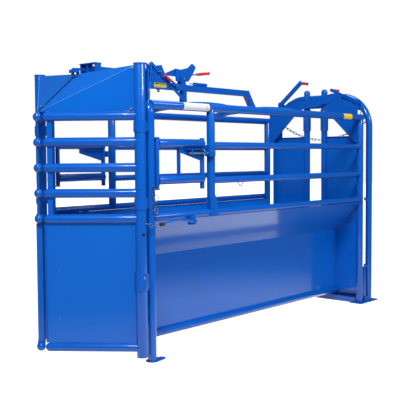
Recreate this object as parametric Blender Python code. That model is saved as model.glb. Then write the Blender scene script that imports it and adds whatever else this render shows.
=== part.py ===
"""Roping chute: a free-standing pipe and sheet frame with swinging front gates and a sliding tail gate.

The chute runs along X: the front gates are at -X and the tail gate is at +X. Y runs across it and Z is up.
Positions are written from the front bow's plane on the ground; the frame's origin empty moves the whole
chute so that the middle of its footprint is at the world origin. Lengths are in metres.
"""
import math

import bmesh
import bpy
from mathutils import Matrix, Vector

# Fits between neighbouring pieces
WELD = 0.0004
TURN = 0.0015
BASE_PLAY = 0.0009
HINGE_PLAY = 0.00015
PIN_PLAY = 0.0005

# Tube sizes, as radii
POST_R = 0.0603 / 2
RAIL_R = 0.0483 / 2
DOOR_R = 0.0334 / 2
GATE_PIPE_R = 0.0761 / 2
SLEEVE_R = 0.0885 / 2
SIDES = 16
GATE_SIDES = 20

# Main frame
HALF_WIDTH = 0.535
MID_X = 0.616
TAIL_X = 2.725
BOW_X = 2.917
BOW_HALF = HALF_WIDTH - 0.015
BOW_TOP = 1.945
BOW_BEND = 0.30
FRONT_BEND = 0.085
RAIL_Z = 1.730
SIDE_RAIL_Z = (1.207, 1.4615)
ARCH_TOP = 1.785
ARCH_X = (0.90, 1.80)
ARCH_SHARES = ((1, 0), (0.86, 0.254), (0.718, 0.545), (0.486, 0.836), (0.224, 1))
PLATE = 0.008
POST_FOOT = PLATE + WELD
STAKE_R = 0.010

# V-shaped sides
V_BEAM_Y = HALF_WIDTH + 0.015
V_BEAM_Z = 0.975
CREASE_Y = 0.280
FLARE_TOP_Z = V_BEAM_Z - 0.025
CREASE_Z = FLARE_TOP_Z - (V_BEAM_Y - CREASE_Y)
BASE_Y = CREASE_Y + 0.010
BASE_Z = 0.110
SHEET = 0.004

# Front gates: two leaves that meet in a nose
GATE_X = -0.091
GATE_LEAN = math.radians(51.5)
NOSE_GAP = {-1: 0.0482, 1: 0.0083}
GATE_REACH = {s: (HALF_WIDTH - gap) / math.sin(GATE_LEAN) for s, gap in NOSE_GAP.items()}
GATE_BARS = (0.111, 0.972, 1.142, 1.311, 1.481, 1.650)
SHEET_END = {-1: 0.022, 1: -0.012}
GATE_PIPE_Z = (0.045, 1.990)
SLEEVE_Z = ((0.493, 0.606), (1.033, 1.108), (1.543, 1.616))
NOSE_X = GATE_X - HALF_WIDTH / math.tan(GATE_LEAN) + 0.0056
HOOD_BACK_X = -0.174
HOOD_BACK_Z = 1.955
HOOD_TOP_Z = 1.984
HOOD_FOOT_X = GATE_X - 0.010
HOOD_FOOT_Y = HALF_WIDTH - 0.015
SPLIT = 0.002

# Top works
BEAM_HALF = 0.024
BEAM_X = (-0.022, 1.722)
BEAM_Z = (1.900, 1.948)
TIE_X = (-0.050, -0.006)
TIE_Y = HALF_WIDTH - 0.015
TIE_Z = (BEAM_Z[1] + WELD, BEAM_Z[1] + 0.020)
BOX_X = (-0.105, 0.012)
BOX_Y = (-0.112, -0.022, 0.044)
BOX_TOP = 2.0275
BOX_STEP = (-0.052, 2.006)
LEVER_X = 0.883
LEVER_Z = 1.994
LEVER_Y = (-0.008, 0.004)
ROD_Y = (0.008, 0.014)
ROD_Z = 2.0175
ROD_HALF = 0.0075
LEVER_LINE = ((0.809, 2.070), (0.870, 2.065), (0.959, 2.088), (1.004, 2.123), (1.044, 2.099), (1.017, 2.053),
              (0.958, 1.978), (0.819, 1.972))
TRIP_GRIP = ((1.062, 2.042), (1.213, 2.062))
TRIP_GRIP_R = 0.0135
STAND_X = (0.530, 0.915)
STAND_Y = ((-0.0225, -0.0165), (0.0165, 0.0225))
STAND_FEET = (0.535, 0.688)
STAND_HORNS = ((0.508, 2.095), (0.574, 2.069), (0.637, 2.084), (0.677, 2.013))
BRACE_TOP = (0.520, -0.030, 2.086)
BRACE_FOOT = (0.893, 1.815)
BRACE_PIN = (0.606, 2.028)
BRACE_PIN_R = 0.007
HOUSING_X = (1.027, 1.177)
HOUSING_R = 0.014
SPINDLE_X = 0.976
LOCK_X = 0.775
LOCK_Z = 1.930
LOCK_Y = -0.052
LOCK_PIN_R = 0.0062
CATCH_X = -0.075
CATCH_Z = 1.996
CATCH_Y = (0.018, 0.024)
CATCH_BAR_X = -0.200

# Neck doors
DOOR_X = 0.062
LATCH_X = 0.520
STILE_X = 0.275
DOOR_RAIL_Z = (1.222, 1.472)
DOOR_HINGE_Z = (DOOR_RAIL_Z[0] - 0.055, DOOR_RAIL_Z[1] + 0.029)
DOOR_LATCH_Z = (DOOR_RAIL_Z[0] - 0.072, DOOR_RAIL_Z[1] + 0.040)
DOOR_PIN_R = 0.0075
BOLT_X = (0.352, 0.582)
KNOB_X = 0.478
BOLT_Y = HALF_WIDTH + 0.0275
BOLT_Z = DOOR_RAIL_Z[1] - 0.067
BOLT_R = 0.007

# Tail gate
PANEL_X = 2.797
PANEL_Y = 0.100
PANEL_TOP = BOW_TOP + 0.045
SHEET_TOP = 1.564
COLLAR_Z = (1.620, 1.830)
COLLAR_R = 0.0375
WING_END = HALF_WIDTH - 0.034
TAIL_LEVER_X = (2.842, 2.852)
TAIL_PIVOT = {-1: (BOW_HALF - 0.090, BOW_TOP - 0.065), 1: (BOW_HALF - 0.063, BOW_TOP - 0.048)}
TAIL_TIP = {-1: (BOW_HALF - 0.372, BOW_TOP + 0.066), 1: (BOW_HALF - 0.308, BOW_TOP + 0.158)}
TAIL_HUB_R = {-1: 0.024, 1: 0.030}
TAIL_ARM_WIDTH = {-1: 0.028, 1: 0.044}
LEVER_PIN_R = 0.008
TAIL_STUB_R = 0.006
EAR_R = 0.022
GRIP_R = 0.016
GRIP_LENGTH = 0.120

# Side handles
HANDLE_X = 0.360
HANDLE_Y = V_BEAM_Y + 0.052
HANDLE_Z = 0.930
HANDLE_R = 0.010
HANDLE_PIN_R = 0.006
HANDLE_ARCH = ((0, 0), (0.030, 0.002), (0.070, 0.012), (0.160, 0.020), (0.250, 0.014), (0.305, 0.002),
               (0.336, 0))

# Safety chain across the rear bow
CHAIN_Z = BOW_TOP - 0.245
CHAIN_SAG = 0.165
CHAIN_R = 0.006

X_MIN = GATE_X - GATE_REACH[1] * math.cos(GATE_LEAN) - POST_R
X_MAX = 2.992
ORIGIN_X = (X_MIN + X_MAX) / 2
SIDE_NAMES = {-1: "near", 1: "far"}

for old in list(bpy.data.objects):
    bpy.data.objects.remove(old)

scene = bpy.context.scene
parts = bpy.data.collections.new("roping_chute")
cutters = bpy.data.collections.new("cutters")
scene.collection.children.link(parts)
scene.collection.children.link(cutters)
root = bpy.data.objects.new("ground_frame", None)
root.location = (-ORIGIN_X, 0, 0)
parts.objects.link(root)


def coat(name, colour, roughness, metallic):
    material = bpy.data.materials.new(name)
    material.use_nodes = True
    shader = material.node_tree.nodes["Principled BSDF"]
    shader.inputs["Base Color"].default_value = (*colour, 1)
    shader.inputs["Roughness"].default_value = roughness
    shader.inputs["Metallic"].default_value = metallic
    return material


BLUE = coat("blue_powder_coat", (0.003, 0.115, 0.60), 0.28, 0.0)
RED = coat("red_grip", (0.65, 0.03, 0.03), 0.40, 0.0)
STEEL = coat("zinc_steel", (0.25, 0.26, 0.28), 0.40, 1.0)


class Shape:
    """Closed solids gathered in one mesh, in chute positions."""

    def __init__(self):
        self.mesh = bmesh.new()

    def add(self, mesh, matrix):
        mesh.transform(matrix)
        self.mesh.from_mesh(mesh)
        bpy.data.meshes.remove(mesh)

    def pipe(self, start, end, radius, sides=SIDES):
        start, end = Vector(start), Vector(end)
        run = end - start
        turn = run.to_track_quat("Z", "Y").to_matrix().to_4x4()
        place = Matrix.Translation((start + end) / 2) @ turn
        bmesh.ops.create_cone(self.mesh, cap_ends=True, segments=sides, radius1=radius, radius2=radius,
                              depth=run.length, matrix=place)

    def box(self, low, high):
        low, high = Vector(low), Vector(high)
        size = high - low
        place = Matrix.Translation((low + high) / 2) @ Matrix.Diagonal((*size, 1))
        bmesh.ops.create_cube(self.mesh, size=1, matrix=place)

    def bar(self, start, end, width, thickness, across):
        """A flat bar whose width lies along the direction given by across."""
        start, end, across = Vector(start), Vector(end), Vector(across).normalized()
        run = (end - start).normalized()
        normal = run.cross(across).normalized()
        turn = Matrix((run, across, normal)).transposed().to_4x4()
        size = Matrix.Diagonal(((end - start).length, width, thickness, 1))
        place = Matrix.Translation((start + end) / 2) @ turn @ size
        bmesh.ops.create_cube(self.mesh, size=1, matrix=place)

    def domed_pipe(self, start, end, radius):
        """A pipe from start with a round nose; the nose ball's centre is at end."""
        start, end = Vector(start), Vector(end)
        run = end - start
        ball = bmesh.new()
        bmesh.ops.create_uvsphere(ball, u_segments=SIDES, v_segments=8, radius=radius)
        for vertex in ball.verts:
            if vertex.co.z < -radius / 10:
                flat = Vector((vertex.co.x, vertex.co.y, 0))
                spread = radius / flat.length if flat.length > radius / 10 else 0
                vertex.co = flat * spread - Vector((0, 0, run.length))
        bmesh.ops.remove_doubles(ball, verts=ball.verts, dist=0.00005)
        mesh = bpy.data.meshes.new("domed_pipe")
        ball.to_mesh(mesh)
        ball.free()
        turn = run.to_track_quat("Z", "Y").to_matrix().to_4x4()
        self.add(mesh, Matrix.Translation(end) @ turn)

    def curve(self, points, radius, closed=False, resolution=6):
        """A bent tube along the points."""
        data = bpy.data.curves.new("tube", "CURVE")
        data.dimensions = "3D"
        data.bevel_depth = radius
        data.bevel_resolution = resolution
        data.use_fill_caps = not closed
        spline = data.splines.new("POLY")
        spline.points.add(len(points) - 1)
        for point, place in zip(spline.points, points):
            point.co = (*place, 1)
        spline.use_cyclic_u = closed
        self.add_curve(data, Matrix.Identity(4))

    def plate(self, outline, thickness, matrix):
        """A flat plate from its outline; thickness runs both ways from the outline's plane."""
        data = bpy.data.curves.new("outline", "CURVE")
        data.dimensions = "2D"
        data.fill_mode = "BOTH"
        data.extrude = thickness / 2
        for loop in outline:
            spline = data.splines.new("POLY")
            spline.points.add(len(loop) - 1)
            for point, place in zip(spline.points, loop):
                point.co = (place[0], place[1], 0, 1)
            spline.use_cyclic_u = True
        self.add_curve(data, matrix)

    def add_curve(self, data, matrix):
        holder = bpy.data.objects.new("outline", data)
        cutters.objects.link(holder)
        graph = bpy.context.evaluated_depsgraph_get()
        mesh = bpy.data.meshes.new_from_object(holder.evaluated_get(graph))
        bpy.data.objects.remove(holder)
        clean = bmesh.new()
        clean.from_mesh(mesh)
        bmesh.ops.remove_doubles(clean, verts=clean.verts, dist=0.00002)
        bmesh.ops.recalc_face_normals(clean, faces=clean.faces)
        clean.to_mesh(mesh)
        clean.free()
        self.add(mesh, matrix)

    def side_plate(self, outline, y_low, y_high):
        """A plate standing in the XZ plane between two Y positions."""
        turn = Matrix.Rotation(math.radians(90), 4, "X")
        place = Matrix.Translation((0, (y_low + y_high) / 2, 0)) @ turn
        self.plate([outline], y_high - y_low, place)

    def cross_plate(self, outline, x_low, x_high):
        """A plate standing in the YZ plane between two X positions."""
        turn = Matrix(((0, 0, 1), (1, 0, 0), (0, 1, 0))).to_4x4()
        place = Matrix.Translation(((x_low + x_high) / 2, 0, 0)) @ turn
        self.plate([outline], x_high - x_low, place)

    def flat_plate(self, outlines, z_low, z_high):
        self.plate(outlines, z_high - z_low, Matrix.Translation((0, 0, (z_low + z_high) / 2)))


def placed(name, shape, collection, origin):
    mesh = bpy.data.meshes.new(name)
    bmesh.ops.translate(shape.mesh, verts=shape.mesh.verts, vec=-Vector(origin))
    bmesh.ops.recalc_face_normals(shape.mesh, faces=shape.mesh.faces)
    shape.mesh.to_mesh(mesh)
    shape.mesh.free()
    thing = bpy.data.objects.new(name, mesh)
    thing.parent = root
    thing.location = origin
    collection.objects.link(thing)
    return thing


def cutter(name, shape):
    tool = placed(name, shape, cutters, (0, 0, 0))
    tool.hide_render = True
    tool.display_type = "WIRE"
    return tool


def node(name, shape, material, cuts=(), joins=(), origin=(0, 0, 0), smooth=True):
    """One named piece: its solids, welded to the joined shapes, less the cut ones."""
    thing = placed(name, shape, parts, origin)
    thing.data.materials.append(material)
    for operation, tools in (("UNION", joins), ("DIFFERENCE", cuts)):
        for tool in tools:
            modifier = thing.modifiers.new(tool.name, "BOOLEAN")
            modifier.operation = operation
            modifier.solver = "EXACT"
            modifier.object = tool
    if smooth:
        thing.data.shade_smooth()
        thing.data.set_sharp_from_angle(angle=math.radians(40))
    return thing


def arc(centre, radius, start, stop, steps):
    """Points of an arc in a plane, angles in degrees."""
    points = []
    for step in range(steps + 1):
        angle = math.radians(start + (stop - start) * step / steps)
        points.append((centre[0] + radius * math.cos(angle), centre[1] + radius * math.sin(angle)))
    return points


# Shapes of whole tubes that other pieces are cut to fit
def whole(line):
    """A line given for the near half, as (y, z) pairs with y negative, and its mirror image."""
    return line + [(-y, z) for y, z in reversed(line)]


FRONT_SHOULDER = (FRONT_BEND - HALF_WIDTH, ARCH_TOP - 0.040 - FRONT_BEND)
FRONT_HALF = [(-HALF_WIDTH, POST_FOOT)] + arc(FRONT_SHOULDER, FRONT_BEND, 180, 95, 6) + [(-0.060, ARCH_TOP)]
FRONT_LINE = whole(FRONT_HALF)
REAR_SHOULDER = (BOW_BEND - BOW_HALF, BOW_TOP - BOW_BEND)
REAR_LINE = whole([(-BOW_HALF, POST_FOOT)] + arc(REAR_SHOULDER, BOW_BEND, 180, 90, 6))
ARCH_HALF = [(-across * HALF_WIDTH, RAIL_Z + rise * (ARCH_TOP - RAIL_Z)) for across, rise in ARCH_SHARES]
ARCH_LINE = whole(ARCH_HALF)


def bow_shape(line, x, radius):
    shape = Shape()
    shape.curve([(x, y, z) for y, z in line], radius)
    return shape


FRONT_CUT = cutter("front_bow_fit", bow_shape(FRONT_LINE, 0, POST_R + 2 * WELD))
REAR_CUT = cutter("rear_bow_fit", bow_shape(REAR_LINE, BOW_X, POST_R + 2 * WELD))
ARCH_TOOL = Shape()
for arch_x in ARCH_X:
    ARCH_TOOL.curve([(arch_x, y, z) for y, z in ARCH_LINE], RAIL_R + 2 * WELD)
ARCH_CUT = cutter("arch_fit", ARCH_TOOL)


def pipe_cut(name, lines, radius, sides=SIDES):
    shape = Shape()
    for start, end in lines:
        shape.pipe(start, end, radius + 1.5 * WELD, sides)
    return cutter(name, shape)


BOTH = (-1, 1)


def level_pipes(y, z):
    """A pipe along the chute on either side, longer than the chute."""
    return [((-0.1, s * y, z), (TAIL_X + 0.1, s * y, z)) for s in BOTH]


def standing_pipes(x, low, high):
    """A post on either side of the chute."""
    return [((x, s * HALF_WIDTH, low), (x, s * HALF_WIDTH, high)) for s in BOTH]


GATE_HOLES = standing_pipes(GATE_X, GATE_PIPE_Z[0] - 0.045, GATE_PIPE_Z[1] + 0.2)
TOP_RAIL_CUT = pipe_cut("top_rail_fit", level_pipes(HALF_WIDTH, RAIL_Z), POST_R)
V_BEAM_CUT = pipe_cut("side_beam_fit", level_pipes(V_BEAM_Y, V_BEAM_Z), RAIL_R)
BASE_CUT = pipe_cut("base_beam_fit", level_pipes(BASE_Y, BASE_Z), POST_R)
MID_CUT = pipe_cut("mid_post_fit", standing_pipes(MID_X, V_BEAM_Z - 0.075, RAIL_Z + 0.070), POST_R)
TAIL_CUT = pipe_cut("rear_post_fit", standing_pipes(TAIL_X, -0.1, RAIL_Z + 0.030), POST_R)
GATE_CUT = pipe_cut("gate_pipe_fit", GATE_HOLES, GATE_PIPE_R, GATE_SIDES)
SLEEVE_BORE = pipe_cut("sleeve_bore", GATE_HOLES, GATE_PIPE_R + HINGE_PLAY, GATE_SIDES)
SLEEVE_CUT = pipe_cut("sleeve_fit", standing_pipes(GATE_X, SLEEVE_Z[0][0] - 0.004, SLEEVE_Z[0][1] + 0.004),
                      SLEEVE_R + TURN, 24)

# Standing frame
sleeves = Shape()
webs = Shape()
feet = Shape()
stake_holes = Shape()
FRONT_STAKE_X = 0.085
for s in BOTH:
    y = s * HALF_WIDTH
    for low, high in SLEEVE_Z:
        sleeves.pipe((GATE_X, y, low), (GATE_X, y, high), SLEEVE_R, 24)
        webs.box((GATE_X + 0.020, y - 0.012, low + 0.008), (0, y + 0.012, high - 0.008))
    heel = arc((0, y), 0.045, 90, 270, 8)
    toe = arc((FRONT_STAKE_X + 0.003, y), 0.030, -90, 90, 6)
    feet.flat_plate([heel + toe], 0, PLATE)
    stake_holes.pipe((FRONT_STAKE_X, y, -PLATE), (FRONT_STAKE_X, y, 3 * PLATE), STAKE_R, 12)
FRONT_JOINS = [cutter("hinge_sleeves", sleeves), cutter("sleeve_webs", webs), cutter("front_feet", feet)]
STAKE_CUT = cutter("front_stake_holes", stake_holes)
bow_line_standing = [(-HALF_WIDTH, PLATE / 2)] + FRONT_LINE[1:-1] + [(HALF_WIDTH, PLATE / 2)]
node("front_bow", bow_shape(bow_line_standing, 0, POST_R), BLUE, joins=FRONT_JOINS,
     cuts=[SLEEVE_BORE, STAKE_CUT])
node("rear_bow", bow_shape(REAR_LINE, BOW_X, POST_R), BLUE)

for s in BOTH:
    side = SIDE_NAMES[s]
    y = s * HALF_WIDTH
    rail = Shape()
    rail.pipe((0, y, RAIL_Z), (TAIL_X + POST_R, y, RAIL_Z), POST_R)
    node("top_rail_" + side, rail, BLUE, cuts=[FRONT_CUT])

    for name, z in zip(("lower_rail_", "upper_rail_"), SIDE_RAIL_Z):
        rail = Shape()
        rail.pipe((MID_X, y, z), (TAIL_X, y, z), RAIL_R)
        node(name + side, rail, BLUE, cuts=[MID_CUT, TAIL_CUT])

    post = Shape()
    post.pipe((MID_X, y, V_BEAM_Z), (MID_X, y, RAIL_Z), POST_R)
    node("mid_post_" + side, post, BLUE, cuts=[TOP_RAIL_CUT, V_BEAM_CUT])

    post = Shape()
    post.pipe((TAIL_X, y, POST_FOOT), (TAIL_X, y, RAIL_Z), POST_R)
    node("rear_post_" + side, post, BLUE, cuts=[TOP_RAIL_CUT])

    beam = Shape()
    beam.pipe((0, s * V_BEAM_Y, V_BEAM_Z), (TAIL_X, s * V_BEAM_Y, V_BEAM_Z), RAIL_R)
    node("side_beam_" + side, beam, BLUE, cuts=[FRONT_CUT, TAIL_CUT])

    beam = Shape()
    beam.pipe((-0.020, s * BASE_Y, BASE_Z), (TAIL_X + 0.020, s * BASE_Y, BASE_Z), POST_R)
    node("base_beam_" + side, beam, BLUE)

    inset = SHEET / math.sqrt(2)
    sheet = Shape()
    outline = [(s * CREASE_Y, BASE_Z), (s * CREASE_Y, CREASE_Z), (s * V_BEAM_Y, FLARE_TOP_Z),
               (s * (V_BEAM_Y + inset), FLARE_TOP_Z - inset),
               (s * (CREASE_Y + SHEET), CREASE_Z - SHEET * math.tan(math.radians(22.5))),
               (s * (CREASE_Y + SHEET), BASE_Z)]
    sheet.cross_plate(outline, 0.012, TAIL_X - 0.010)
    corners = Shape()
    reach = HALF_WIDTH - 0.008
    corner = [(s * (CREASE_Y + SHEET / 2), BASE_Z), (s * reach, BASE_Z),
              (s * reach, CREASE_Z + reach - CREASE_Y - SHEET / 2), (s * (CREASE_Y + SHEET / 2), CREASE_Z)]
    for low in (0.014, TAIL_X - 0.018):
        corners.cross_plate(corner, low, low + 0.005)
    node("side_panel_" + side, sheet, BLUE, joins=[cutter("corner_panels_" + side, corners)],
         cuts=[FRONT_CUT, V_BEAM_CUT, BASE_CUT, TAIL_CUT], smooth=False)

# Rear base: cross member, foot plates and the track of the tail gate
base = Shape()
BASE_HALF = HALF_WIDTH - POST_R - 2 * BASE_PLAY
CROSS_HALF = 0.020
CROSS_TOP = BASE_Z - POST_R - 0.03135
base.box((TAIL_X - CROSS_HALF, -BASE_HALF, 0), (TAIL_X + CROSS_HALF, BASE_HALF, CROSS_TOP))
base_feet = Shape()
rear_stakes = Shape()
FOOT_CORNER = 0.017
STAKE_X = BOW_X - 0.057
for s in BOTH:
    foot_y = sorted((s * (HALF_WIDTH - 0.070), s * (HALF_WIDTH + 0.055)))
    foot_x = (TAIL_X - 0.055, X_MAX - FOOT_CORNER, X_MAX)
    plate = [(foot_x[0], foot_y[0]), (foot_x[1], foot_y[0]), (foot_x[2], foot_y[0] + FOOT_CORNER),
             (foot_x[2], foot_y[1] - FOOT_CORNER), (foot_x[1], foot_y[1]), (foot_x[0], foot_y[1])]
    base_feet.flat_plate([plate], 0, PLATE)
    stake_y = s * (HALF_WIDTH + 0.025)
    rear_stakes.pipe((STAKE_X, stake_y, -PLATE), (STAKE_X, stake_y, 3 * PLATE), 0.011, 12)
track = Shape()
TRACK_HALF = 0.020
TRACK_LOW, TRACK_FLOOR, TRACK_TOP = 0.004, 0.013, 0.055
inner_half = TRACK_HALF - 0.008
u_line = [(-TRACK_HALF, TRACK_LOW), (TRACK_HALF, TRACK_LOW), (TRACK_HALF, TRACK_TOP), (inner_half, TRACK_TOP),
          (inner_half, TRACK_FLOOR), (-inner_half, TRACK_FLOOR), (-inner_half, TRACK_TOP),
          (-TRACK_HALF, TRACK_TOP)]
TRACK_END = HALF_WIDTH + 0.035
track.side_plate([(PANEL_X + a, b) for a, b in u_line], -TRACK_END, TRACK_END)
node("rear_base", base, BLUE, joins=[cutter("rear_feet", base_feet), cutter("gate_track", track)],
     cuts=[cutter("rear_stake_holes", rear_stakes)], smooth=False)

# Header over the tail gate: a level bar under the rear bow, a sloping bar ahead of the panels, and gussets
GUSSET_Y = HALF_WIDTH - POST_R - WELD
GUSSET_LOW = RAIL_Z - 0.230
HEADER_Z = (BOW_TOP - 0.102, BOW_TOP - 0.015)
HEADER_ARC = BOW_BEND + 0.018
HEADER_X = (TAIL_X + 0.0065, TAIL_X + 0.0145)
REAR_BAR_X = (BOW_X - POST_R - WELD - 0.0125, BOW_X - POST_R - WELD)
SLOPE = -0.176
SLOPING_WIDTH = 0.078
bend_y, bend_z = BOW_HALF - BOW_BEND, BOW_TOP - BOW_BEND
low_angle, high_angle = (math.degrees(math.asin((z - bend_z) / HEADER_ARC)) for z in HEADER_Z)
bend_line = arc((bend_y, bend_z), HEADER_ARC, low_angle, high_angle, 4)
rear_outline = bend_line + [(-y, z) for y, z in reversed(bend_line)]
bar_end = bend_line[0][0]
rear_bar = Shape()
rear_bar.cross_plate(rear_outline, *REAR_BAR_X)


def sloping(y, lift):
    """A point of the sloping bar: its lower edge passes HEADER_Z[0] near the middle and rises towards -Y."""
    return (y, HEADER_Z[0] + SLOPE * (y - 0.047) + lift)


NEAR_TOP_Y = -0.300
header = Shape()
header.cross_plate([sloping(GUSSET_Y, 0), sloping(GUSSET_Y, SLOPING_WIDTH),
                    sloping(NEAR_TOP_Y + 0.070, SLOPING_WIDTH), sloping(NEAR_TOP_Y, SLOPING_WIDTH - 0.018),
                    sloping(NEAR_TOP_Y - 0.030, 0)], *HEADER_X)
header_ends = Shape()
header_pins = Shape()
ear_rounds = Shape()
ear_roots = Shape()
gussets = Shape()
PIN_BACK = REAR_BAR_X[0] + 0.006
for s in BOTH:
    end_y = sorted((s * (bar_end - 0.014), s * (bar_end - 0.006)))
    header_ends.box((HEADER_X[0] - 0.005, end_y[0], HEADER_Z[0] - 0.038),
                    (REAR_BAR_X[1] - 0.001, end_y[1], HEADER_Z[0] + 0.007))
    gusset = [(s * 0.130, HEADER_Z[0] - 0.005), (s * GUSSET_Y, HEADER_Z[0] - 0.005), (s * GUSSET_Y, GUSSET_LOW),
              (s * (GUSSET_Y - 0.024), GUSSET_LOW)]
    if s < 0:
        gusset[1:2] = [sloping(NEAR_TOP_Y, 0.020), (s * (GUSSET_Y - 0.075), HEADER_Z[0] + 0.037),
                       (s * GUSSET_Y, HEADER_Z[0] - 0.023)]
    gussets.cross_plate(gusset, HEADER_X[0] - 0.0065, HEADER_X[0] + 0.0015)
    pivot = TAIL_PIVOT[s]
    header_pins.pipe((TAIL_LEVER_X[0] - 0.006, s * pivot[0], pivot[1]), (PIN_BACK, s * pivot[0], pivot[1]),
                     LEVER_PIN_R, 12)
    ear_rounds.pipe((REAR_BAR_X[0] + 0.001, s * pivot[0], pivot[1]),
                    (REAR_BAR_X[1] - 0.001, s * pivot[0], pivot[1]), EAR_R, 16)
    ear_x = sum(REAR_BAR_X) / 2
    ear_tip = Vector((ear_x, s * pivot[0], pivot[1]))
    ear_root = Vector((ear_x, s * bend_y, bend_z)).lerp(ear_tip, 0.80)
    ear_across = (ear_tip - ear_root).cross(Vector((1, 0, 0)))
    ear_roots.bar(ear_root, ear_tip, 2 * EAR_R - 0.008, 0.0095, ear_across)
HEADER_JOINS = [cutter("header_rear_bar", rear_bar), cutter("header_ends", header_ends),
                cutter("tail_gussets", gussets), cutter("ear_roots", ear_roots),
                cutter("ear_rounds", ear_rounds), cutter("lever_pins", header_pins)]
node("tail_header", header, BLUE, joins=HEADER_JOINS, smooth=False)

for name, arch_x in zip(("front", "rear"), ARCH_X):
    arch_pipe = Shape()
    arch_pipe.curve([(arch_x, y, z) for y, z in ARCH_LINE], RAIL_R)
    node("cross_arch_" + name, arch_pipe, BLUE, cuts=[TOP_RAIL_CUT])

beam = Shape()
beam.box((BEAM_X[0], -BEAM_HALF, BEAM_Z[0]), (BEAM_X[1], BEAM_HALF, BEAM_Z[1]))
legs = Shape()
leg_y = BEAM_HALF - 0.001
for x in (0, ARCH_X[0]):
    legs.box((x - 0.019, -leg_y, ARCH_TOP + 0.003), (x + 0.019, leg_y, BEAM_Z[0] + 0.010))
legs.bar((BEAM_X[1] - 0.020, 0, BEAM_Z[0] + 0.026), (ARCH_X[1], 0, ARCH_TOP + 0.003), 2 * BEAM_HALF - 0.001,
         2 * BEAM_HALF - 0.002, (0, 1, 0))
node("overhead_beam", beam, BLUE, joins=[cutter("beam_legs", legs)], cuts=[FRONT_CUT, ARCH_CUT], smooth=False)

# Tie bar behind the hinge pipes, and the catch box that stands on it
tie = Shape()
tie.box((TIE_X[0], -TIE_Y, TIE_Z[0]), (TIE_X[1], TIE_Y, TIE_Z[1]))
uprights = Shape()
UPRIGHT = 0.012
for s in BOTH:
    upright_y = s * (TIE_Y - 0.001)
    uprights.box((-UPRIGHT, upright_y - UPRIGHT, RAIL_Z - 0.040), (0, upright_y + UPRIGHT, TIE_Z[1] - 0.001))
node("hinge_tie", tie, BLUE, joins=[cutter("tie_uprights", uprights)], cuts=[FRONT_CUT, TOP_RAIL_CUT],
     smooth=False)

BOX_LOW = TIE_Z[1] + WELD
WALL = 0.006
CATCH_SHAFT_R = 0.009
ROLLER_R = 0.014
box = Shape()
box.box((BOX_X[0] - WALL, BOX_Y[0] - 0.002, BOX_TOP),
        (BOX_STEP[0] + 0.002, BOX_Y[2] + WALL + 0.002, BOX_TOP + 0.0065))
walls = Shape()
wall = [(BOX_X[0], BOX_LOW), (BOX_X[0], BOX_TOP + 0.002), (BOX_STEP[0], BOX_TOP + 0.002), BOX_STEP,
        (BOX_X[1], BOX_STEP[1]), (BOX_X[1], BOX_LOW)]
for y in BOX_Y:
    walls.side_plate(wall, y, y + WALL)
rollers = Shape()
roller_y = (BOX_Y[0] + WALL / 2, BOX_Y[2] + WALL / 2)
for x, z, radius in ((CATCH_X, CATCH_Z, CATCH_SHAFT_R), (-0.012, BOX_LOW + 0.0191, ROLLER_R)):
    rollers.pipe((x, roller_y[0], z), (x, roller_y[1], z), radius, 12)
node("catch_box", box, BLUE, joins=[cutter("box_walls", walls), cutter("box_rollers", rollers)])

# Stand of the trip lever, the spring housing behind it and the brace
BEAM_TOP = BEAM_Z[1] + WELD
stand_base = Shape()
stand_base.box((STAND_X[0], STAND_Y[0][0], BEAM_TOP), (STAND_X[1], STAND_Y[1][1], BEAM_TOP + 0.004))
stand = [(STAND_FEET[0], BEAM_TOP + 0.002), *STAND_HORNS, (STAND_FEET[1], BEAM_TOP + 0.002)]
bearing = [(LEVER_X - 0.028, BEAM_TOP + 0.002), (LEVER_X - 0.021, LEVER_Z + 0.010), (LEVER_X, LEVER_Z + 0.020),
           (LEVER_X + 0.021, LEVER_Z + 0.010), (LEVER_X + 0.028, BEAM_TOP + 0.002)]
stand_plates = Shape()
for low, high in STAND_Y:
    stand_plates.side_plate(stand, low, high)
    stand_plates.side_plate(bearing, low, high)
pins = Shape()
LEVER_BORE_R = 0.0085
pins.pipe((LEVER_X, -0.028, LEVER_Z), (LEVER_X, 0.028, LEVER_Z), LEVER_BORE_R - PIN_PLAY, 12)
pins.pipe((BRACE_PIN[0], BRACE_TOP[1] - 0.012, BRACE_PIN[1]),
          (BRACE_PIN[0], STAND_Y[0][1] - 0.0015, BRACE_PIN[1]), BRACE_PIN_R, 12)
node("trip_stand", stand_base, BLUE, joins=[cutter("stand_plates", stand_plates), cutter("trip_pins", pins)])

housing = Shape()
axis_z = BEAM_TOP + HOUSING_R
housing.pipe((HOUSING_X[0], 0, axis_z), (HOUSING_X[1], 0, axis_z), HOUSING_R)
spindle = Shape()
spindle.pipe((SPINDLE_X, 0, axis_z), (HOUSING_X[0] + 0.023, 0, axis_z), 0.004, 8)
node("spring_housing", housing, BLUE, joins=[cutter("spring_spindle", spindle)])

corner_foot = (0.020, 0.025 - HALF_WIDTH, RAIL_Z + 0.022)
brace = Shape()
brace.bar(BRACE_TOP, (BRACE_FOOT[0], BRACE_TOP[1], BRACE_FOOT[1]), 0.032, 0.006, (0, 0, 1))
strut = Shape()
strut.bar(BRACE_TOP, corner_foot, 0.020, 0.005, (0, 0, 1))
BRACE_HOLE = pipe_cut("brace_hole", [((BRACE_PIN[0], -0.1, BRACE_PIN[1]), (BRACE_PIN[0], 0.1, BRACE_PIN[1]))],
                      BRACE_PIN_R + 0.0002)
node("diagonal_brace", brace, BLUE, joins=[cutter("corner_strut", strut)],
     cuts=[ARCH_CUT, BRACE_HOLE, FRONT_CUT, TOP_RAIL_CUT], smooth=False)

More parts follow.
